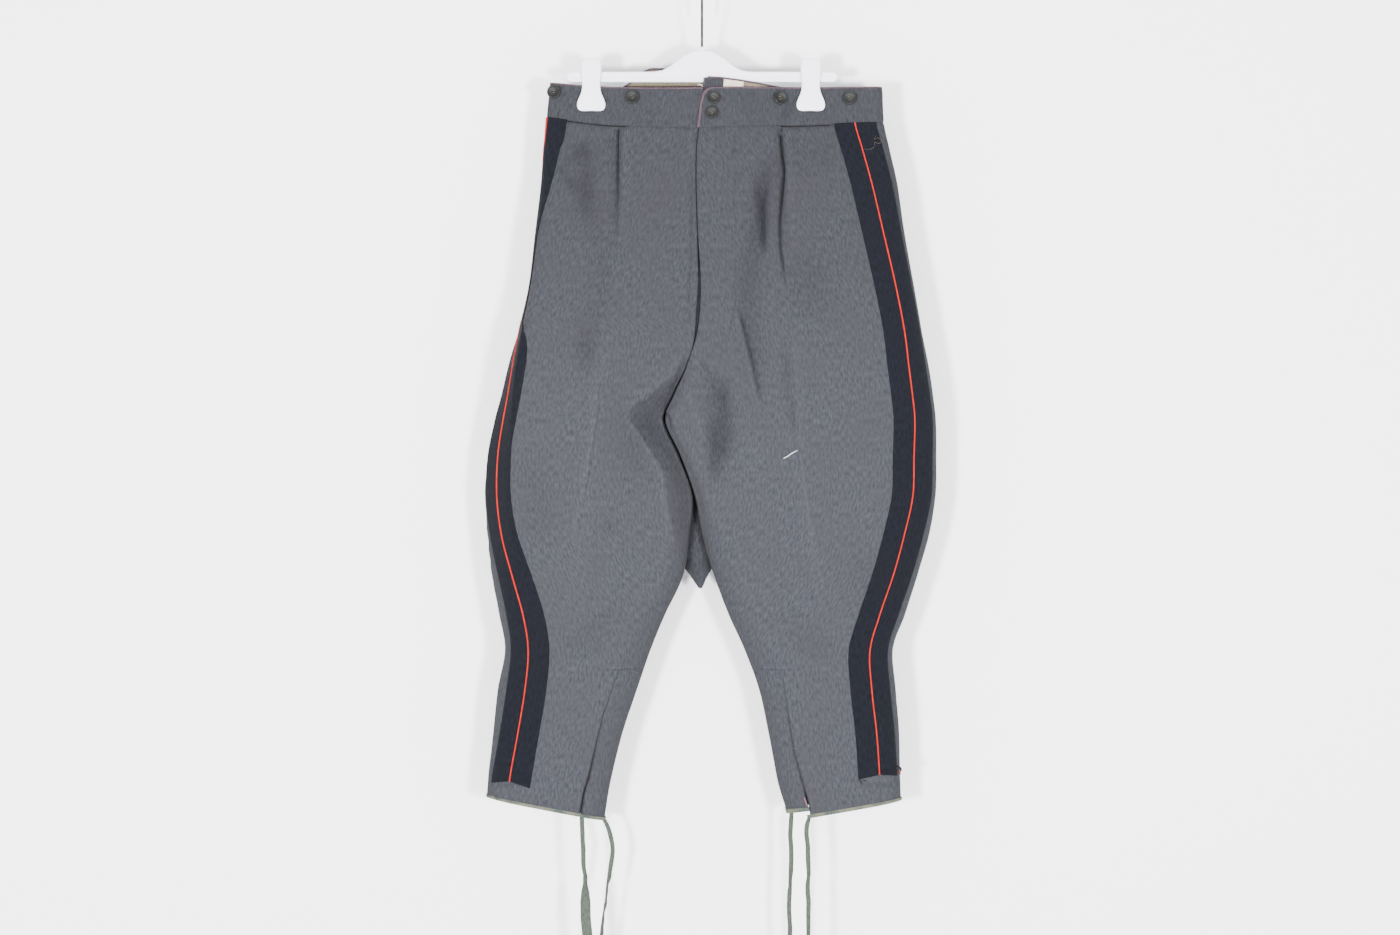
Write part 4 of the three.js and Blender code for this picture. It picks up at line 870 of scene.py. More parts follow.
# Where each calf slit runs: z, x
SLIT_LINES = {
    "right": np.array([[-1050, -154], [-1036, -151.9], [-1014, -148.8], [-995, -143.1], [-932, -129.5],
                       [-919, -126.1], [-910, -123.8], [-853.6, -104.4]]),
    "left": np.array([[-1050, 138], [-1042, 136.7], [-1027, 134.6], [-990, 124.5], [-968, 119],
                      [-954, 115.3], [-881, 103.6], [-853.6, 99.2]]),
}


def lay_creases(grid, name, face):
    """Fine creases and a faint unevenness of the cloth, and the painted shade and highlight that go with
    them.
    """
    points = grid["points"]
    x, z = points[..., 0], points[..., 2]
    half = HALVES[name]
    relief = fold_depth(half["creases"], face, x, z)
    painted_shading = CREASE_PAINTED_SHADING * relief + FOLD_PAINTED_SHADING * fold_depth(half["folds"], face, x, z)
    painted_shading = painted_shading - WAIST_PAINTED_SHADE * ramp(z, *WAIST_SHADE_HEIGHTS)
    if face == "front" and name == "right":
        inside = smooth((x - np.interp(z, *FORK_RIDGE.T)) / FORK_PAINTED_SHADE_EDGE)
        painted_shading = painted_shading - FORK_PAINTED_SHADE * inside * ramp(z, *FORK_FOOT) * ramp(z, *FORK_PAINTED_SHADE_HEAD)
    waves = 0.22 * np.sin(x / 21 + np.sin(z / 57) * 1.7) * np.sin(z / 43 + x / 70)
    waves += 0.10 * np.sin(x / 8.3 + z / 31) * np.sin(z / 17 - x / 40)
    return relief + waves, painted_shading


def slit_arcs(lines):
    """Arc of the calf slit on each section."""
    z = lines["row"]["z_in"][:, 0]
    return arcs_at_x(lines, np.interp(z, *SLIT_LINES[lines["name"]].T))


# How far each panel stays from the side seam and from the centre
SEAM_GAP, CENTRE_GAP = 0.1, 0.15


def front_arcs(lines, name):
    """Arcs across a front: closer at its open edge, beside the pressed crease and at the side seam."""
    slit = lines["v"] > slit_row[name]
    z = lines["row"]["z_in"][:, 0]
    beyond_slit = slit_arcs(lines) + np.interp(z, *SLIT_OPENING[name].T)
    start = CENTRE_GAP + np.interp(z, *FORK_OPENING.T) + np.where(slit, beyond_slit, 0)
    if name == "right":
        start = start + np.interp(z, *FLY_OPENING.T) * (z > FORK_BOTTOM)
    crease = np.maximum(start + 30, lines["crease"])
    end = lines["seam"] - SEAM_GAP
    beside = [7, 4, 2.2, 1.2, 0.5]
    rows = []
    for a, b, c in zip(start, crease, end):
        rows.append(np.concatenate([[a, a + 0.7, a + 1.5], spread(a + 2.6, b - 10, 44),
                                    [b - d for d in beside], [b], [b + d for d in beside[::-1]],
                                    spread(b + 10, c - 30, 34), spread(c - 26, c, 9)]))
    return np.array(rows)


def back_arcs(lines):
    """Arcs across a back: closer at the side seam and at the centre."""
    rows = []
    for a, b in zip(lines["seam"] + SEAM_GAP, lines["total"] - CENTRE_GAP):
        rows.append(np.concatenate([spread(a, a + 28, 8), spread(a + 31, b - 2.5, 62), [b - 0.7, b]]))
    return np.array(rows)


def slit_start(name):
    """Row number at which the calf slit begins."""
    v = np.linspace(13, 18, 1000)
    return float(np.interp(-SLIT_TOP, -sections_at(HALVES[name], v)["z_in"], v))


slit_row = {name: slit_start(name) for name in HALVES}

# The rolled edges of a panel: how wide the cloth lies flat there, and the dips at its sides and top
EDGE_FLAT, EDGE_DIP, EDGE_REACH = 5, 0.5, 1.4
TOP_DIP, TOP_REACH = 0.8, 1.6

# The raised edges of the fronts under the fork, with a painted highlight on them, and the heights where they
# end
FORK_RIM, RIM_AT, RIM_REACH, RIM_PAINTED_HIGHLIGHT = 1.1, 2.6, 1.1, 0.34
RIM_FOOT = (-700, -640)
RIM_HEAD = {"right": (-515, -545), "left": (-465, -500)}

# Where the mouth of each front pocket, in the waist seam, opens and closes, x, and how it gapes
POCKET_MOUTH = {"right": ((-182, -172), (-93, -100)), "left": ((97, 104), (168, 160))}
MOUTH_DIP, MOUTH_SAG, MOUTH_REACH = 1.2, 1.5, 3


def sew_panels(name):
    """The front and the back of one half, with their creases and rolled edges."""
    rows = np.unique(np.concatenate([
        rows_between(name, PANEL_TOP, HEM_ROW),
        [slit_row[name] - 0.004, slit_row[name] + 0.004, HEM_ROW - 0.03]]))
    lines = half_lines(name, rows)
    for face, arcs in (("front", front_arcs(lines, name)), ("back", back_arcs(lines))):
        grid = at_arcs(lines, arcs)
        relief, painted_shading = lay_creases(grid, name, face)
        from_start, from_end = arcs - arcs[:, :1], arcs[:, -1:] - arcs
        x, z = grid["points"][..., 0], grid["points"][..., 2]
        from_top = z[:1] - z
        from_edge = np.minimum(from_start, from_end)
        relief *= smooth(from_edge / EDGE_FLAT)
        relief -= EDGE_DIP * bump_at(from_edge, 0, EDGE_REACH) + TOP_DIP * bump_at(from_top, 0, TOP_REACH)
        if face == "front":
            fork_edge = ramp(z, *RIM_FOOT) * ramp(z, *RIM_HEAD[name])
            beside = abs(x - x[:, :1])
            rim = bump_at(beside, RIM_AT, RIM_REACH) * fork_edge
            shaded = np.exp(-((beside / 1.3) ** 4)) * fork_edge
            slit_edge = bump_at(from_start, 0, 0.9) * ramp(z, SLIT_TOP, SLIT_TOP - 60)
            relief += FORK_RIM * rim + 0.5 * slit_edge
            # Painted highlight on the raised rims; painted shade along the fronts' edges in the fork's gap
            # and beside the calf slit.
            painted_shading += RIM_PAINTED_HIGHLIGHT * rim - 0.75 * shaded - 0.5 * slit_edge
            mouth = ramp(x, *POCKET_MOUTH[name][0]) * ramp(x, *POCKET_MOUTH[name][1])
            near_top = np.exp(-from_top / MOUTH_REACH) * mouth
            relief -= MOUTH_DIP * near_top
            grid["points"][..., 2] -= MOUTH_SAG * near_top
        grid["coords"][..., 2] = painted_shading
        grid["points"] = grid["points"] + grid["normals"] * relief[..., None]
        if face == "back" and name == "left":
            lift_corner(grid, from_end)
        panel = cloth_shell(f"{face}_panel_{name}", grid, CLOTH, 0, [GREY_WOOL])
        place(panel, [f"{face}_{name}"])


# How much lower the stripe's end hangs than its last row, in the middle, how much more at its edges,
# and how far up the leg the cloth gives
BAND_DROP = {"right": (4.1, 5.3), "left": (10.8, 3.8)}
DROP_REACH = 60


def strip(name, half, rows, offsets, thick, lift, material, node_name, profile, roll=0.3):
    """A strip of cloth sewn on: offsets are arcs from the side seam, and profile its height over them."""
    lines = half_lines(half, rows)
    grid = at_arcs(lines, lines["seam"][:, None] + np.asarray(offsets)[None, :])
    points = grid["points"]
    middle, edges = BAND_DROP[half]
    drop = middle + edges * abs(np.asarray(offsets)) / BAND_WIDTH
    drop = drop * ramp(points[..., 2] - points[-1:, :, 2], DROP_REACH, 0)
    grid["points"] = points + unit(points[-1] - points[-6]) * drop[..., None]
    grid["points"] = grid["points"] + grid["normals"] * np.asarray(profile)[None, :, None]
    piece = cloth_shell(name, grid, thick, lift, [material], roll)
    place(piece, [node_name])


# Wall of the bands and of the piping between them, and how high their faces stand
BAND_CLOTH, BAND_LIFT = 0.95, 1.15
PIPING_CLOTH, PIPING_LIFT = 1.4, 1.95


def sew_stripe(name):
    """The two black bands down one side seam, and the red piping between them."""
    rows = rows_between(name, PANEL_TOP, BAND_END[name])
    inner = np.concatenate([[0, 0.5], spread(2, BAND_WIDTH - 2, 8), [BAND_WIDTH - 0.5, BAND_WIDTH]])
    puff = [-0.25, 0.0] + [0.12] * 9 + [0.0, -0.25]
    for face, offsets in (("front", -BAND_START - inner[::-1]), ("back", BAND_START + inner)):
        strip(f"black_band_{face}_{name}", name, rows, offsets, BAND_CLOTH, BAND_LIFT, BLACK_WOOL,
              f"band_{face}_{name}", puff)
    across = np.array([-0.9, -0.7, -0.35, 0, 0.35, 0.7, 0.9])
    crown = [-1.15, -0.5, -0.1, 0, -0.1, -0.5, -1.15]
    strip(f"red_side_piping_{name}", name, rows, across, PIPING_CLOTH, PIPING_LIFT, RED_FELT,
          f"side_piping_{name}", crown, 0.1)


# The hem's tape: its wall and lift, how far past the slit it starts, and how many rows tall the tape
# on the strip beside each slit is
TAPE_CLOTH, TAPE_LIFT = 0.8, 1.0
TAPE_START = {"right": 0.6, "left": -3.5}
PLACKET_TAPE = {"right": 0.12, "left": 0.1}

# How far the left back's inner corner is lifted, over which widths, and how far up the leg
CORNER_LIFT, CORNER_WIDTHS, CORNER_REACH = 13, (75, 35), 80


def lift_corner(grid, from_end):
    """Lifts the back's inner corner at the hem to the end of the short strip beside the slit."""
    points = grid["points"]
    near_hem = ramp(points[..., 2] - points[-1:, :, 2], CORNER_REACH, 0)
    lift = CORNER_LIFT * ramp(from_end, *CORNER_WIDTHS) * near_hem
    grid["points"] = points - unit(points[-1] - points[-6]) * lift[..., None]


def bind_hem(name):
    """Tape round one leg end, and at the lower end of the strip beside the slit."""
    for piece_name, end, tall in (("hem_tape", HEM_ROW, HEM_ROW - BINDING_ROW + 0.01),
                                  ("placket_tape", PLACKET_END[name], PLACKET_TAPE[name])):
        lines = half_lines(name, spread(end - tall, end + 0.005, 5))
        slit = slit_arcs(lines)
        on_hem = piece_name == "hem_tape"
        first = slit + TAPE_START[name] if on_hem else np.full(len(slit), 0.5)
        last = lines["total"] - 0.3 if on_hem else slit + 0.2
        arcs = np.linspace(first, last, 120).T
        grid = at_arcs(lines, arcs)
        ruck = 0.25 * np.sin(arcs / 2.1) * np.sin(arcs / 7.3)
        grid["points"] = grid["points"] + grid["normals"] * ruck[..., None]
        if name == "left" and on_hem:
            lift_corner(grid, lines["total"][:, None] - arcs)
        binding = cloth_shell(f"{piece_name}_{name}", grid, TAPE_CLOTH, TAPE_LIFT, [BINDING_TAPE])
        place(binding, [f"hem_binding_{name}"] if on_hem else ())


# Where the left strip is cut away at the slit: how deep, its height and its reach
STRIP_NOTCH, NOTCH_Z, NOTCH_REACH = 2.2, -1024, 10


def sew_placket(name):
    """The strip beside one calf slit, shaded along the slit."""
    rows = rows_between(name, slit_row[name] + 0.009, PLACKET_END[name])
    lines = half_lines(name, rows)
    slit = slit_arcs(lines)
    if name == "left":
        slit = slit - STRIP_NOTCH * bump_at(lines["row"]["z_in"][:, 0], NOTCH_Z, NOTCH_REACH)
    arcs = np.array([np.concatenate([[0.2, 0.8], spread(3, edge - 3, 12), [edge - 0.9, edge - 0.4]])
                     for edge in slit])
    grid = at_arcs(lines, arcs)
    grid["coords"][..., 2] = -0.45 * bump_at(arcs, slit[:, None], 1.6) * ramp(lines["v"], 16, 18)[:, None]
    placket = cloth_shell(f"calf_strip_{name}", grid, CLOTH, -0.3, [GREY_WOOL])
    place(placket, [f"calf_placket_{name}"])


# The seat's cloth, which hangs lower than the front and shows between the legs: z, x of its two edges
SEAT_EDGES = np.array([[-480, -33, -17], [-507, -45, -29], [-538, -57, -38], [-560, -50, -29],
                       [-583, -40, -17], [-634, -23, 2], [-684, -26, 11], [-712, -29, 19],
                       [-726, -22, 13], [-740, -12, 5], [-752, -4, 0]])
SEAT_Y, SEAT_CLOTH = 13, 1.4

# Painted shade on the seat: how much darker it is than the legs, and by how much and how far it is darker
# beside them
SEAT_PAINTED_SHADE, SEAT_SHADE, SHADE_REACH = -0.12, -0.55, 13


def sew_seat():
    """The seat's point between the legs."""
    z = np.linspace(SEAT_EDGES[0, 0], SEAT_EDGES[-1, 0], 70)
    low, high = (np.interp(-z, -SEAT_EDGES[:, 0], SEAT_EDGES[:, k])[:, None] for k in (1, 2))
    share = np.linspace(0, 1, 18)[None, :]
    x = low + (high - low) * share
    height = np.broadcast_to(z[:, None], x.shape)
    y = SEAT_Y + (3 * np.sin(np.pi * share) + 0.8 * np.sin(height / 9)) * ramp(height, -560, -600)
    points = np.stack([x, y, height], axis=-1)
    near_legs = np.minimum(share, 1 - share) * (high - low)
    # Painted shade: the seat is darker all over, and darkest beside the legs until near its point.
    painted_shading = SEAT_SHADE * bump_at(near_legs, 0, SHADE_REACH) * ramp(height, -742, -715) + SEAT_PAINTED_SHADE
    grid = {"points": points, "normals": np.broadcast_to([0.0, -1.0, 0.0], points.shape),
            "coords": np.stack([x, height, painted_shading], axis=-1)}
    seat = cloth_shell("seat_behind_fork", grid, SEAT_CLOTH, 0, [GREY_WOOL])
    place(seat)


for half_name in HALVES:
    sew_panels(half_name)
    sew_stripe(half_name)
    bind_hem(half_name)
    sew_placket(half_name)
sew_seat()


# Waistband

# The band's last row above its seam, and the crease that runs down the left band
BAND_FOOT = 0.994
BAND_CREASE = ("front", [[117, -128], [103, -155]], 5, -1.6, 8, 8)

# What shows inside the left back: wall, and the rows and columns of the band that each piece covers
FACING_CLOTH = 0.6
TAB_PART = (slice(0, 8), slice(-16, -5))
TURNED_PART = (slice(0, 9), slice(-9, -1))

# The strip behind the fly: its rows, wall and depth, how far it lies under the right front and how far
# it stands out past its edge, and how much painted shade darkens it
UNDERLAP_ROWS, UNDERLAP_CLOTH, UNDERLAP_DEPTH = (1.05, 6.75), 1.5, CLOTH + 2.6
UNDERLAP_UNDER, UNDERLAP_PAST = 18, 16
FLY_STRIP_PAINTED_SHADE = -0.6


def corner_drop(arc):
    """How far the waistband's top edge falls at its round corner."""
    inside = np.maximum(0, OVERLAP_CORNER - arc)
    return OVERLAP_CORNER - np.sqrt(OVERLAP_CORNER ** 2 - inside ** 2)


def waist_arcs(lines, name):
    """Arcs round a waistband: closer at its front end and round the side."""
    first = 0.2 if name == "left" else 1.2
    rows = []
    for total, turn in zip(lines["total"], lines["turn"]):
        rows.append(np.concatenate([[first, first + 0.5, first + 1.4, 3, 4.5, 6, 8, 10],
                                    spread(12, turn - 14, 60), spread(turn - 11, turn + 11, 10),
                                    spread(turn + 14, total - 3, 60), [total - 0.9, total - 0.2]]))
    return np.array(rows)


def sew_waistband(name):
    """One half of the waistband, and what shows inside the left one."""
    lines = half_lines(name, np.concatenate([[0, 0.015], spread(0.05, 0.95, 14), [0.982, BAND_FOOT]]))
    arcs = waist_arcs(lines, name)
    grid = at_arcs(lines, arcs)
    if name == "left":
        share = (1 - lines["v"] / BAND_FOOT)[:, None]
        grid["points"][..., 2] -= corner_drop(arcs) * share ** 3
    x, z = grid["points"][..., 0], grid["points"][..., 2]
    relief = 0.35 * np.sin(x / 17 + z / 23) * np.sin(x / 31)
    if name == "left":
        relief += fold_depth([BAND_CREASE], "front", x, z) * (arcs < 170)
    relief *= (smooth(lines["v"] / 0.15) * smooth((1 - lines["v"]) / 0.15))[:, None]
    seams = 0.35 * bump_at(lines["v"], 0.075, 0.02) + 0.4 * bump_at(lines["v"], 0.99, 0.03)
    relief -= seams[:, None]
    grid["points"] = grid["points"] + grid["normals"] * relief[..., None]
    # Painted shade: the waistband is darker than the legs, a little darker where its relief sinks and lighter
    # where it stands.
    grid["coords"][..., 2] = 0.08 * relief - WAIST_PAINTED_SHADE - 0.03
    band = cloth_shell(f"waistband_cloth_{name}", grid, WAISTBAND_CLOTH, 0, [GREY_WOOL, LINING])
    place(band, [f"waistband_{name}"])
    if name == "left":
        part = {key: value[TAB_PART] for key, value in grid.items()}
        tab = cloth_shell("cream_tab", part, FACING_CLOTH, -WAISTBAND_CLOTH - 0.3, [CREAM_TAPE], 0.2)
        place(tab, ["waist_tab"])
        part = {key: value[TURNED_PART] for key, value in grid.items()}
        facing = cloth_shell("turned_in_end", part, FACING_CLOTH, -WAISTBAND_CLOTH - 1.0, [GREY_WOOL],
                             0.2)
        place(facing)


# The piping on the waistband's top edge: its radius, how high it stands, and its steps and sides
CORD_RADIUS, CORD_LIFT, CORD_STEPS, CORD_SIDES = 1.35, 1.25, 260, 10


def sew_waist_piping(name):
    """Piping along one half's top edge, and on the left down the end at the fly."""
    lines = half_lines(name, [0, 0.02])
    total, turn = lines["total"][0], lines["turn"][0]
    first = OVERLAP_CORNER if name == "left" else 2
    arcs = np.concatenate([spread(first, turn - 6, 80), spread(turn - 5, turn + 5, 10),
                           spread(turn + 6, total - 1.5, 90)])
    grid = at_arcs(lines, np.stack([arcs, arcs]))
    inward = grid["normals"][0] * [1, 1, 0]
    path = grid["points"][0] - unit(inward) * WAISTBAND_CLOTH / 2
    path[:, 2] += CORD_LIFT
    if name == "left":
        bend = OVERLAP_CORNER + CORD_LIFT
        corner = path[0] - [0, 0, bend]
        turned = [corner + [bend * math.cos(a) - 0.5, -0.7, bend * math.sin(a)]
                  for a in np.radians(np.linspace(180, 100, 12))]
        edge = half_lines(name, [0.99, 0.9, 0.8, 0.7, 0.6, 0.5, 0.42])["points"][:, 0]
        down = edge + [-1.5, 0.7, 0]
        path = np.concatenate([down, turned, path])
    path = smooth_route(path[::2], CORD_STEPS)[0]
    steps = np.arange(CORD_STEPS)
    wobble = 1 + 0.08 * np.sin(steps / 3.1) * np.sin(steps / 11)
    if name == "left":
        wobble *= 1 + 0.3 * ramp(path[:, 0], 16, 4) * (path[:, 1] < 0)
    rings = round_rings(path, CORD_RADIUS * wobble, CORD_SIDES, 0.85, (0, 1, 0.001))
    across = np.arange(CORD_SIDES)[None, :] * 0.8
    coords = np.stack(np.broadcast_arrays(across, steps[:, None] * 1.7, 0.0), axis=-1).reshape(-1, 3)
    piping = tube(f"rose_waist_piping_{name}", rings, [ROSE_FELT], coords)
    place(piping, [f"waist_piping_{name}"])


def sew_underlap():
    """The strip behind the fly's buttons, which shows in the gap."""
    rows = spread(*UNDERLAP_ROWS, 90)
    lines = half_lines("right", rows)
    front = at_arcs(lines, np.array([spread(0, UNDERLAP_UNDER, 8)] * len(rows)))["points"]
    reach = np.linspace(2, UNDERLAP_PAST, 6)
    across = front[:, :1] + np.stack([reach, 0 * reach, 0 * reach], axis=1)[None]
    points = np.concatenate([front[:, ::-1], across], axis=1) + [0, UNDERLAP_DEPTH, 0]
    facing = np.broadcast_to([0.0, -1.0, 0.0], points.shape)
    grid = {"points": points, "normals": facing, "coords": points[..., [0, 2, 1]] * [1, 1, 0]}
    # Painted shade darkens the strip where it shows in the fly's gap.
    grid["coords"][..., 2] = FLY_STRIP_PAINTED_SHADE
    strip_piece = cloth_shell("fly_strip", grid, UNDERLAP_CLOTH, 0, [GREY_WOOL])
    place(strip_piece, ["fly_underlap"])


for half_name in HALVES:
    sew_waistband(half_name)
    sew_waist_piping(half_name)
sew_underlap()


# Buttons

def front_spot(name, x, z):
    """The front's point at x, z, and the direction that it faces."""
    half = HALVES[name]
    v = np.linspace(0, HEM_ROW, 2000)
    row = sections_at(half, v)
    share = np.clip((x - row["x_in"]) / (row["x_out"] - row["x_in"]), 0, 1)
    height = row["z_in"] + (row["z_out"] - row["z_in"]) * share - row["sag"] * np.sin(np.pi * share)
    at = float(np.interp(-z, -height, v))
    lines = half_lines(name, [max(0, at - 0.04), at, min(HEM_ROW, at + 0.04)])
    arc = arcs_at_x(lines, [x] * 3)
    found = at_arcs(lines, arc[:, None])
    return found["points"][1, 0], found["normals"][1, 0]


# The holes of a button, as shares of its radius, and its thread's and shank's radius
HOLE_AT, HOLE_RADIUS = 0.17, 0.085
THREAD_RADIUS, SHANK_RADIUS = 0.34, 1.6


def turned_button(radius, thick):
    """A dished button with four holes, round +Z."""
    profile = np.array([[0.02, 0], [0.82, 0], [0.94, 0.14], [1, 0.45], [0.99, 0.72], [0.93, 0.95], [0.85, 1],
                        [0.77, 0.93], [0.71, 0.72], [0.6, 0.58], [0.45, 0.5], [0.25, 0.46], [0.02, 0.45]])
    angles = 2 * np.pi * np.arange(48) / 48
    rings = [[[r * radius * math.cos(a), r * radius * math.sin(a), h * thick] for a in angles]
             for r, h in profile]
    disc = tube("turned_disc", rings, [BUTTON_METAL])
    holes = []
    for side_x in (-1, 1):
        for side_y in (-1, 1):
            middle = np.array([side_x, side_y, 0]) * radius * HOLE_AT
            path = [middle + UP * thick * h for h in (-0.5, 0.2, 0.9, 1.5)]
            rings = round_rings(path, radius * HOLE_RADIUS, 12, 1, (1, 0, 0))
            holes.append(tube("hole", rings, [THREADS["dark_thread"]]))
    cutter = joined("holes", holes)
    cut = disc.modifiers.new("holes", "BOOLEAN")
    cut.object = cutter
    cut.solver = "EXACT"
    mesh = bpy.data.meshes.new_from_object(disc.evaluated_get(bpy.context.evaluated_depsgraph_get()))
    bpy.data.objects.remove(disc)
    bpy.data.objects.remove(cutter)
    return mesh


def button_thread(radius, thick):
    """The stitches over the button's middle."""
    hole, top = radius * HOLE_AT, thick * 0.5
    runs = []
    for k in (-0.5, 0.5):
        for side_y in (-1, 1):
            lie = side_y * hole + k * 0.45
            runs.append([[x * hole, lie, top + 0.5 * (1 - x * x) + 0.05] for x in np.linspace(-1, 1, 7)])
    return runs


def align(points, spot, facing):
    """Points made round +Z, stood on a spot facing outwards."""
    level = unit(np.cross(UP, facing))
    up = np.cross(facing, level)
    points = np.asarray(points, float)
    return spot + points[..., :1] * level + points[..., 1:2] * up + points[..., 2:] * facing


# Radius and thickness of each kind, and how far the back ones are from the centre
BRACE_BUTTON = (9.0, 3.4)
FLY_BUTTON = (8.2, 3.2)
BACK_BUTTON_ARC = 52
button_meshes = {kind: turned_button(*kind) for kind in (BRACE_BUTTON, FLY_BUTTON)}

# Each button's kind, half, x, z, and how far it is turned
FRONT_BUTTONS = {
    "fly_button_upper": (FLY_BUTTON, "left", 15.2, -128, 0.9),
    "fly_button_lower": (FLY_BUTTON, "left", 12.8, -147, 0.3),
    "brace_button_front_right": (BRACE_BUTTON, "right", -88.5, -127, 0.5),
    "brace_button_front_left": (BRACE_BUTTON, "left", 99, -128, 0.2),
    "brace_button_side_left": (BRACE_BUTTON, "left", 188, -128, 0.6),
    "brace_button_side_right": (BRACE_BUTTON, "right", -188, -120, 0.0),
}


def sew_button(name, kind, facing, turn):
    """A button on its solid's middle, with its stitches and shank."""
    low, high = (np.array(corner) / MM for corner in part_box(name))
    spot = (low + high) / 2 - facing * kind[1] / 2
    mesh = button_meshes[kind].copy()
    flat = np.empty(len(mesh.vertices) * 3)
    mesh.vertices.foreach_get("co", flat)
    points = flat.reshape(-1, 3) / MM
    spin = np.array([[math.cos(turn), -math.sin(turn), 0], [math.sin(turn), math.cos(turn), 0], [0, 0, 1]])
    mesh.vertices.foreach_set("co", (align(points @ spin.T, spot, facing) * MM).ravel())
    mesh.materials.clear()
    mesh.materials.append(BUTTON_METAL)
    mesh.polygons.foreach_set("use_smooth", [True] * len(mesh.polygons))
    mesh.set_sharp_from_angle(angle=math.radians(50))
    piece = bpy.data.objects.new(name + "_dished", mesh)
    bpy.context.scene.collection.objects.link(piece)
    place(piece, [name])
    runs = [align(np.array(run) @ spin.T, spot, facing) for run in button_thread(*kind)]
    shank = [align([[0, 0, h] for h in np.linspace(-1.4, 1.2, 5)], spot, facing)]
    place(threads(name + "_thread", runs, THREAD_RADIUS, THREADS["brown_thread"]))
    place(threads(name + "_shank", shank, SHANK_RADIUS, THREADS["grey_thread"], 10))


for button_name, (kind, half_name, x, z, turn) in FRONT_BUTTONS.items():
    sew_button(button_name, kind, front_spot(half_name, x, z)[1], turn)
for half_name in HALVES:
    behind = half_lines(half_name, [0.31, 0.35, 0.39])
    facing = at_arcs(behind, (behind["total"] - BACK_BUTTON_ARC)[:, None])["normals"][1, 0]
    sew_button(f"brace_button_back_{half_name}", BRACE_BUTTON, facing, 0.4)


# Stitches, buttonholes and loose threads that lie on the front: half, x, z points, radius, lift, thread
LAID_THREADS = {
    "buttonhole_upper": ("left", [[21.5, -128.6], [25.5, -128.8], [29.2, -128.8]], 0.75, 0.1, "rose_thread"),
    "buttonhole_lower": ("left", [[19.7, -147.4], [22.4, -147.6], [24.9, -147.6]], 0.7, 0.1, "rose_thread"),
    "tack_pleat_right": ("right", [[-94.6, -164.5], [-94.3, -170], [-94.6, -175]], 0.45, 0.1, "grey_thread"),
    "tack_band_right": ("right", [[-183.5, -145], [-183, -149], [-183.4, -153]], 0.6, 0.4, "dark_thread"),
    "tack_band_left": ("left", [[184.8, -154.5], [185, -158], [184.6, -162]], 0.6, 0.4, "dark_thread"),
    "tack_pocket_left_a": ("left", [[96.4, -163], [96.8, -170], [96.4, -176]], 0.45, 0.1, "dark_thread"),
    "tack_pocket_left_b": ("left", [[101, -163], [101.2, -168], [101, -173]], 0.45, 0.1, "dark_thread"),
    "loose_white_thread": ("left", [[103, -586.5], [108, -584], [113, -580.5], [120.5, -576.5]],
                           0.5, 0.6, "white_thread"),
    "speck": ("right", [[-122.8, -703], [-121.9, -703.5], [-121, -703.8]], 0.65, 0.1, "brown_thread"),
    "thread_on_band": ("left", [[220.7, -176.8], [218.8, -181.4], [223.4, -179.6], [227.5, -183.2],
                                [224.3, -186.8], [219.5, -185.1], [218.8, -190.5], [214.2, -193.8],
                                [205.2, -194.1]], 0.22, 2.2, "brown_thread"),
    "fray_left_a": ("left", [[198.8, -991.6], [200.7, -995.5], [203.2, -999.9]], 0.8, 1.4, "dark_thread"),
    "fray_left_b": ("left", [[203.2, -993.4], [206, -994.6], [209, -994.2]], 0.7, 1.4, "dark_thread"),
    "lining_in_slit": ("left", [[129.6, -1016], [131.6, -1022], [133.4, -1028.5]],
                       1.2, -0.1, "rose_lining"),
    "tack_slit_left": ("left", [[115, -953.5], [118, -954], [121, -953.6]], 0.4, 0.1, "grey_thread"),
    "tack_slit_right": ("right", [[-104, -851], [-98, -854], [-88, -857], [-79, -859.6]],
                        0.3, 0.1, "grey_thread"),
}
# The loose threads at the fly: x, y, z
LOOSE_ENDS = [
    [[-5, -2, -108.5], [-2, -3, -109.5], [2, -3.4, -113], [4, -3, -116.5]],
    [[-6, -2.6, -110], [-3, -3.2, -111], [-1, -3.4, -110.5], [2, -3, -109]],
    [[-2, -2, -113.5], [1, -3, -112], [4, -3.6, -112.5]],
]
# The curl at the outer corner of the left stripe's end, and its wisp of piping: x, y, z
FRAYED_END = [[[246, -18, -975], [250, -16, -977.5], [253, -14, -981], [252.6, -14, -985]],
              [[246, -18, -979], [249.5, -17, -981.5], [251, -16, -985]]]
FRAYED_PIPING = [[[250.4, -18, -982.5], [251.4, -18, -985.5], [252.6, -17, -988]]]


def lay_threads():
    for name, (half_name, points, radius, lift, kind) in LAID_THREADS.items():
        run = []
        for x, z in points:
            spot, facing = front_spot(half_name, x, z)
            run.append(spot + facing * lift)
        run = smooth_route(run, 8 * len(points))[0]
        place(threads(name, [run], radius, THREADS[kind]))
    place(threads("loose_ends", LOOSE_ENDS, 0.35, THREADS["white_thread"]))
    place(threads("frayed_end", FRAYED_END, 1.5, THREADS["dark_thread"]))
    place(threads("frayed_piping", FRAYED_PIPING, 0.8, THREADS["red_thread"]))


lay_threads()


# Hanger

# The bar's half length, its edges and its thickness, and the hump's edge: distance from the middle, z
BAR_HALF, BAR_TOP, BAR_BOTTOM, BAR_THICK = 173, -93.5, -107, 8
HUMP_EDGE = np.array([[0, -66], [4.5, -66], [10, -66.8], [20, -71], [30, -78], [40, -86], [50, -91.5],
                      [60, -93.3], [66, -93.5]])


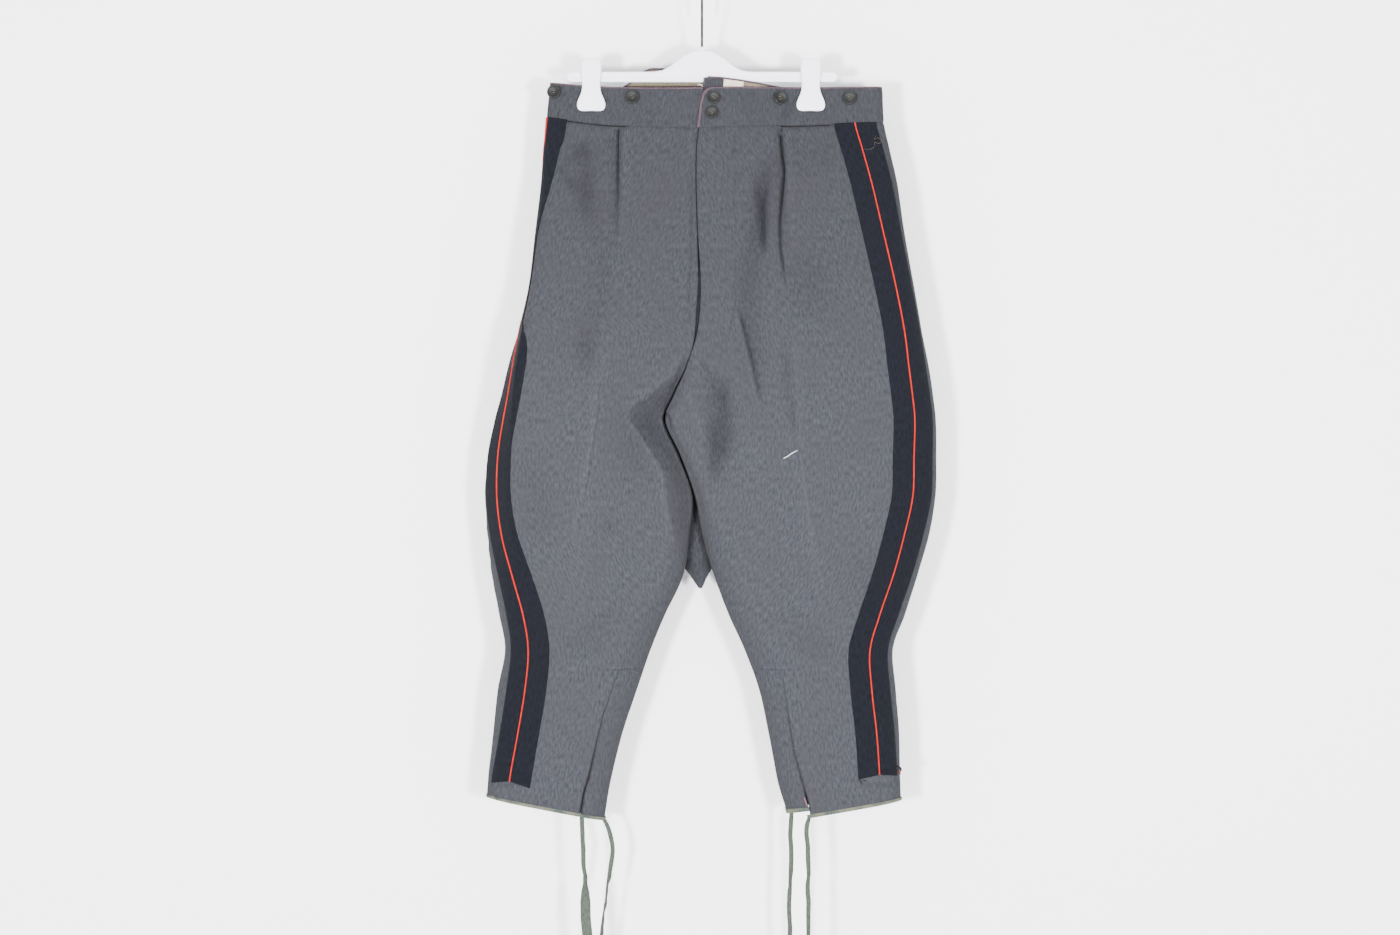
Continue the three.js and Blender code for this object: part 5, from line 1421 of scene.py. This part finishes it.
def bar_ring(x, top, bottom, thick):
    """A rounded section of the bar at x, with two grooves along its front."""
    corner = min(2.2, thick / 2, (top - bottom) / 2)
    half = thick / 2
    heights = np.concatenate([[bottom + corner], [-103.9, -103.4, -102.9, -100.9, -100.4, -99.9],
                              np.linspace(-97, top - corner, 14)])
    heights = np.clip(heights, bottom + corner, top - corner)
    groove = 0.5 * bump_at(heights, -103.4, 0.35) + 0.5 * bump_at(heights, -100.4, 0.35)
    groove = groove * (top - bottom > 12)
    ring = [[x, -half + g, z] for z, g in zip(heights, groove)]
    for middle_y, middle_z, first in ((-half + corner, top - corner, 180), (half - corner, top - corner, 90)):
        for a in np.radians(np.linspace(first, first - 90, 6)[1:]):
            ring.append([x, middle_y + corner * math.cos(a), middle_z + corner * math.sin(a)])
    for middle_y, first in ((half - corner, 0), (-half + corner, -90)):
        for a in np.radians(np.linspace(first, first - 90, 6)[:-1]):
            ring.append([x, middle_y + corner * math.cos(a), bottom + corner + corner * math.sin(a)])
    return ring


def mould_bar():
    """The bar with its hump, the hook's neck and the rims of the bare oval."""
    end = (BAR_TOP - BAR_BOTTOM) / 2
    middle = (BAR_TOP + BAR_BOTTOM) / 2
    stations = np.concatenate([BAR_HALF - end + end * np.cos(np.linspace(0.08, np.pi / 2, 12)),
                               np.linspace(BAR_HALF - end - 4, 68, 20), np.linspace(64, 0, 49)])
    rings = []
    for x in np.concatenate([-stations, stations[::-1][1:]]):
        reach = abs(x)
        top, bottom = float(np.interp(reach, *HUMP_EDGE.T)), BAR_BOTTOM
        past = max(0.0, reach - (BAR_HALF - end)) / end
        shrink = math.sqrt(max(0.0, 1 - past ** 2))
        if past > 0:
            top, bottom = middle + end * shrink, middle - end * shrink
        rings.append(bar_ring(x, top, bottom, BAR_THICK * (0.55 + 0.45 * shrink)))
    bar = tube("moulded_bar", rings, [WHITE_PLASTIC], sharp=50)
    neck_path = [[0, 0, z] for z in (-68, -66, -65, -64.2, -63, -62.3, -62)]
    neck = tube("neck", round_rings(neck_path, [4.4, 4.2, 3.5, 3.4, 3.4, 3.1, 2.4], 24, 1, (1, 0, 0)),
                [WHITE_PLASTIC], sharp=60)
    rims = []
    for width, height in ((25.4, 11.7), (23.4, 9.9)):
        loop = [[-1.3 + width * math.cos(a), -BAR_THICK / 2, -85.4 + height * math.sin(a)]
                for a in np.linspace(0, 2 * np.pi, 72, endpoint=False)]
        rims.append(tube("rim", closed_rings(loop, 0.42, 6), [WHITE_PLASTIC], closed=True))
    place(joined("moulded_bar", [bar, neck] + rims), ["hanger_bar"])


def closed_rings(loop, radius, sides):
    """Rings round a closed loop that lies in the x, z plane."""
    loop = np.asarray(loop, float)
    tangent = unit(np.roll(loop, -1, axis=0) - np.roll(loop, 1, axis=0))
    level = np.array([0.0, 1.0, 0.0])
    other = np.cross(tangent, level)
    return np.stack([loop + level * radius * math.cos(a) + other * radius * math.sin(a)
                     for a in 2 * np.pi * np.arange(sides) / sides], axis=1)


# The hook's wire: its radius, and the points along it
WIRE_RADIUS, HOOK_STEPS = 1.6, 110


def bend_hook():
    angles = np.radians(np.linspace(-50, 195, 60))
    bend = [[0, -20 * math.cos(a), -18.4 + 20 * math.sin(a)] for a in angles]
    path = [[0, 0, -61.6], [0, 0, -58], [0, 0, -54], [0, -0.5, -51], [0, -1.5, -47.5], [0, -3.6, -44.2],
            [0, -7.5, -39.8]] + bend
    path = smooth_route(path, HOOK_STEPS)[0]
    radius = np.full(HOOK_STEPS, WIRE_RADIUS)
    radius[-3:] = [1.55, 1.35, 0.7]
    hook = tube("bent_wire_hook", round_rings(path, radius, 16, 1, (1, 0, 0)), [BLACK_WIRE])
    place(hook, ["hanger_hook"])


# A clip's jaw: half width and z from its top down, its thickness, and the rounding of its edge
CLIP_OUTLINE = np.array([[0, -77], [6, -77.2], [10.2, -79], [12.3, -83], [12.7, -88], [12.4, -98],
                         [11.4, -108], [11.6, -115], [13, -121.5], [15.8, -128], [17.8, -134],
                         [17.9, -138.5], [16, -142.4], [12.5, -144], [0, -144]])
JAW_THICK, JAW_ROUND, JAW_DOME = 3.4, 1.4, 0.3


def clip_outline(x):
    right = smooth_route(np.insert(CLIP_OUTLINE, 1, 0, axis=1), 70)[0][:, [0, 2]]
    left = right[::-1][1:-1] * [-1, 1]
    return np.concatenate([right, left]) + [x, 0]


def plate(name, outline, face_y, back_y, corner, dome):
    """A plate with rounded edges between two depths. Its front is domed a little."""
    middle = outline.mean(axis=0)
    tangent = unit(np.roll(outline, -1, axis=0) - np.roll(outline, 1, axis=0))
    inward = np.stack([-tangent[:, 1], tangent[:, 0]], axis=1)
    if np.sum(inward * (middle - outline)) < 0:
        inward = -inward
    sign = 1 if back_y > face_y else -1
    levels = [(0.0, back_y)]
    for a in np.radians([0, 22, 45, 67, 90]):
        levels.append((corner * (1 - math.cos(a)), face_y + sign * corner * (1 - math.sin(a))))
    rings = []
    for inset, y in levels:
        ring = outline + inward * inset
        rings.append(np.column_stack([ring[:, 0], np.full(len(ring), y), ring[:, 1]]))
    for share, up in ((0.75, 0.5), (0.5, 0.8), (0.25, 0.95)):
        ring = middle + (rings[5][:, [0, 2]] - middle) * share
        rings.append(np.column_stack([ring[:, 0], np.full(len(ring), face_y - sign * dome * up), ring[:, 1]]))
    return tube(name, rings, [WHITE_PLASTIC], sharp=60)


def mould_clip(name, face):
    """One jaw with the block that joins it to the bar."""
    x = CLIPS[name]
    low, high = (np.array(corner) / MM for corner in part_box(f"clip_{face}_{name}"))
    sign, face_y, inner_y = (1, low[1], high[1]) if face == "front" else (-1, high[1], low[1])
    parts = [plate("jaw", clip_outline(x), face_y + sign * JAW_DOME, face_y + sign * JAW_THICK,
                   JAW_ROUND, JAW_DOME)]
    angles = np.radians(np.linspace(0, 360, 40, endpoint=False))
    block = np.column_stack([x + 9.5 * np.sign(np.cos(angles)) * abs(np.cos(angles)) ** 0.5,
                             -87 + 5.9 * np.sign(np.sin(angles)) * abs(np.sin(angles)) ** 0.5])
    rings = [np.column_stack([block[:, 0], np.full(40, y), block[:, 1]])
             for y in np.linspace(face_y + sign * 0.9, inner_y, 5)]
    parts.append(tube("block", rings, [WHITE_PLASTIC], sharp=50))
    if face == "front":
        for z in (-92.5, -102.6):
            dot = [[x + 0.5, y, z] for y in (face_y + 0.6, face_y + 0.1, face_y - 0.15, face_y - 0.25)]
            rings = round_rings(dot, [1.7, 1.6, 1.2, 0.5], 20, 1, (1, 0, 0))
            parts.append(tube("dot", rings, [WHITE_PLASTIC]))
    place(joined(f"moulded_clip_{face}_{name}", parts), [f"clip_{face}_{name}"])


mould_bar()
bend_hook()
for half_name in HALVES:
    mould_clip(half_name, "front")
    mould_clip(half_name, "back")


# Stage and light

def plain_surface(name, corners, tint, seen_from_front_only=False):
    """A faintly mottled floor or wall. The wall is clear from behind and holds no light back."""
    material, tree, shader = new_material(name)
    mottle = noise(tree, object_coords(tree), 1.4, 4)
    tree.links.new(mix_colour(tree, mottle, tint, tuple(c * 0.96 for c in tint[:3]) + (1,)),
                   shader.inputs["Base Color"])
    shader.inputs["Roughness"].default_value = 0.95
    shader.inputs["Specular IOR Level"].default_value = 0.1
    if seen_from_front_only:
        behind = node(tree, "ShaderNodeNewGeometry").outputs["Backfacing"]
        clear = node(tree, "ShaderNodeBsdfTransparent").outputs[0]
        shown = node(tree, "ShaderNodeMixShader", {0: behind, 1: shader.outputs[0], 2: clear})
        tree.links.new(shown.outputs[0], tree.nodes["Material Output"].inputs["Surface"])
    mesh = bpy.data.meshes.new(name)
    mesh.from_pydata(corners, [], [(0, 1, 2, 3)])
    mesh.materials.append(material)
    sheet = bpy.data.objects.new(name, mesh)
    bpy.context.scene.collection.objects.link(sheet)
    sheet.visible_shadow = sheet.visible_diffuse = not seen_from_front_only


# The wall and the floor, in metres, and for each lamp where it stands and its power
WALL_Y, FLOOR_Z = 0.075, -1.36
LAMPS = {"left_light": ((-1.45, -4.2, -0.95), 405), "right_light": ((1.35, -4.2, -0.95), 335)}
LAMP_SIZE, LAMP_AIM = 0.42, (0, 0, -0.6)
SKY_STRENGTH = 2.0


def lamp(name, location, power):
    data = bpy.data.lights.new(name, "AREA")
    data.size = LAMP_SIZE
    data.energy = power
    made = bpy.data.objects.new(name, data)
    made.location = location
    made.rotation_euler = (Vector(LAMP_AIM) - Vector(location)).to_track_quat("-Z", "Y").to_euler()
    bpy.context.scene.collection.objects.link(made)


def set_stage():
    plain_surface("pale_floor", [(-6, -6, FLOOR_Z), (6, -6, FLOOR_Z), (6, 6, FLOOR_Z), (-6, 6, FLOOR_Z)],
                  colour(244, 244, 246))
    plain_surface("pale_wall", [(-4, WALL_Y, FLOOR_Z), (4, WALL_Y, FLOOR_Z), (4, WALL_Y, 2), (-4, WALL_Y, 2)],
                  colour(250, 250, 252), True)
    for lamp_name, (location, power) in LAMPS.items():
        lamp(lamp_name, location, power)
    world = bpy.data.worlds.new("studio")
    world.use_nodes = True
    sky = world.node_tree.nodes["Background"]
    sky.inputs["Color"].default_value = (0.97, 0.98, 1.0, 1)
    sky.inputs["Strength"].default_value = SKY_STRENGTH
    bpy.context.scene.world = world


set_stage()
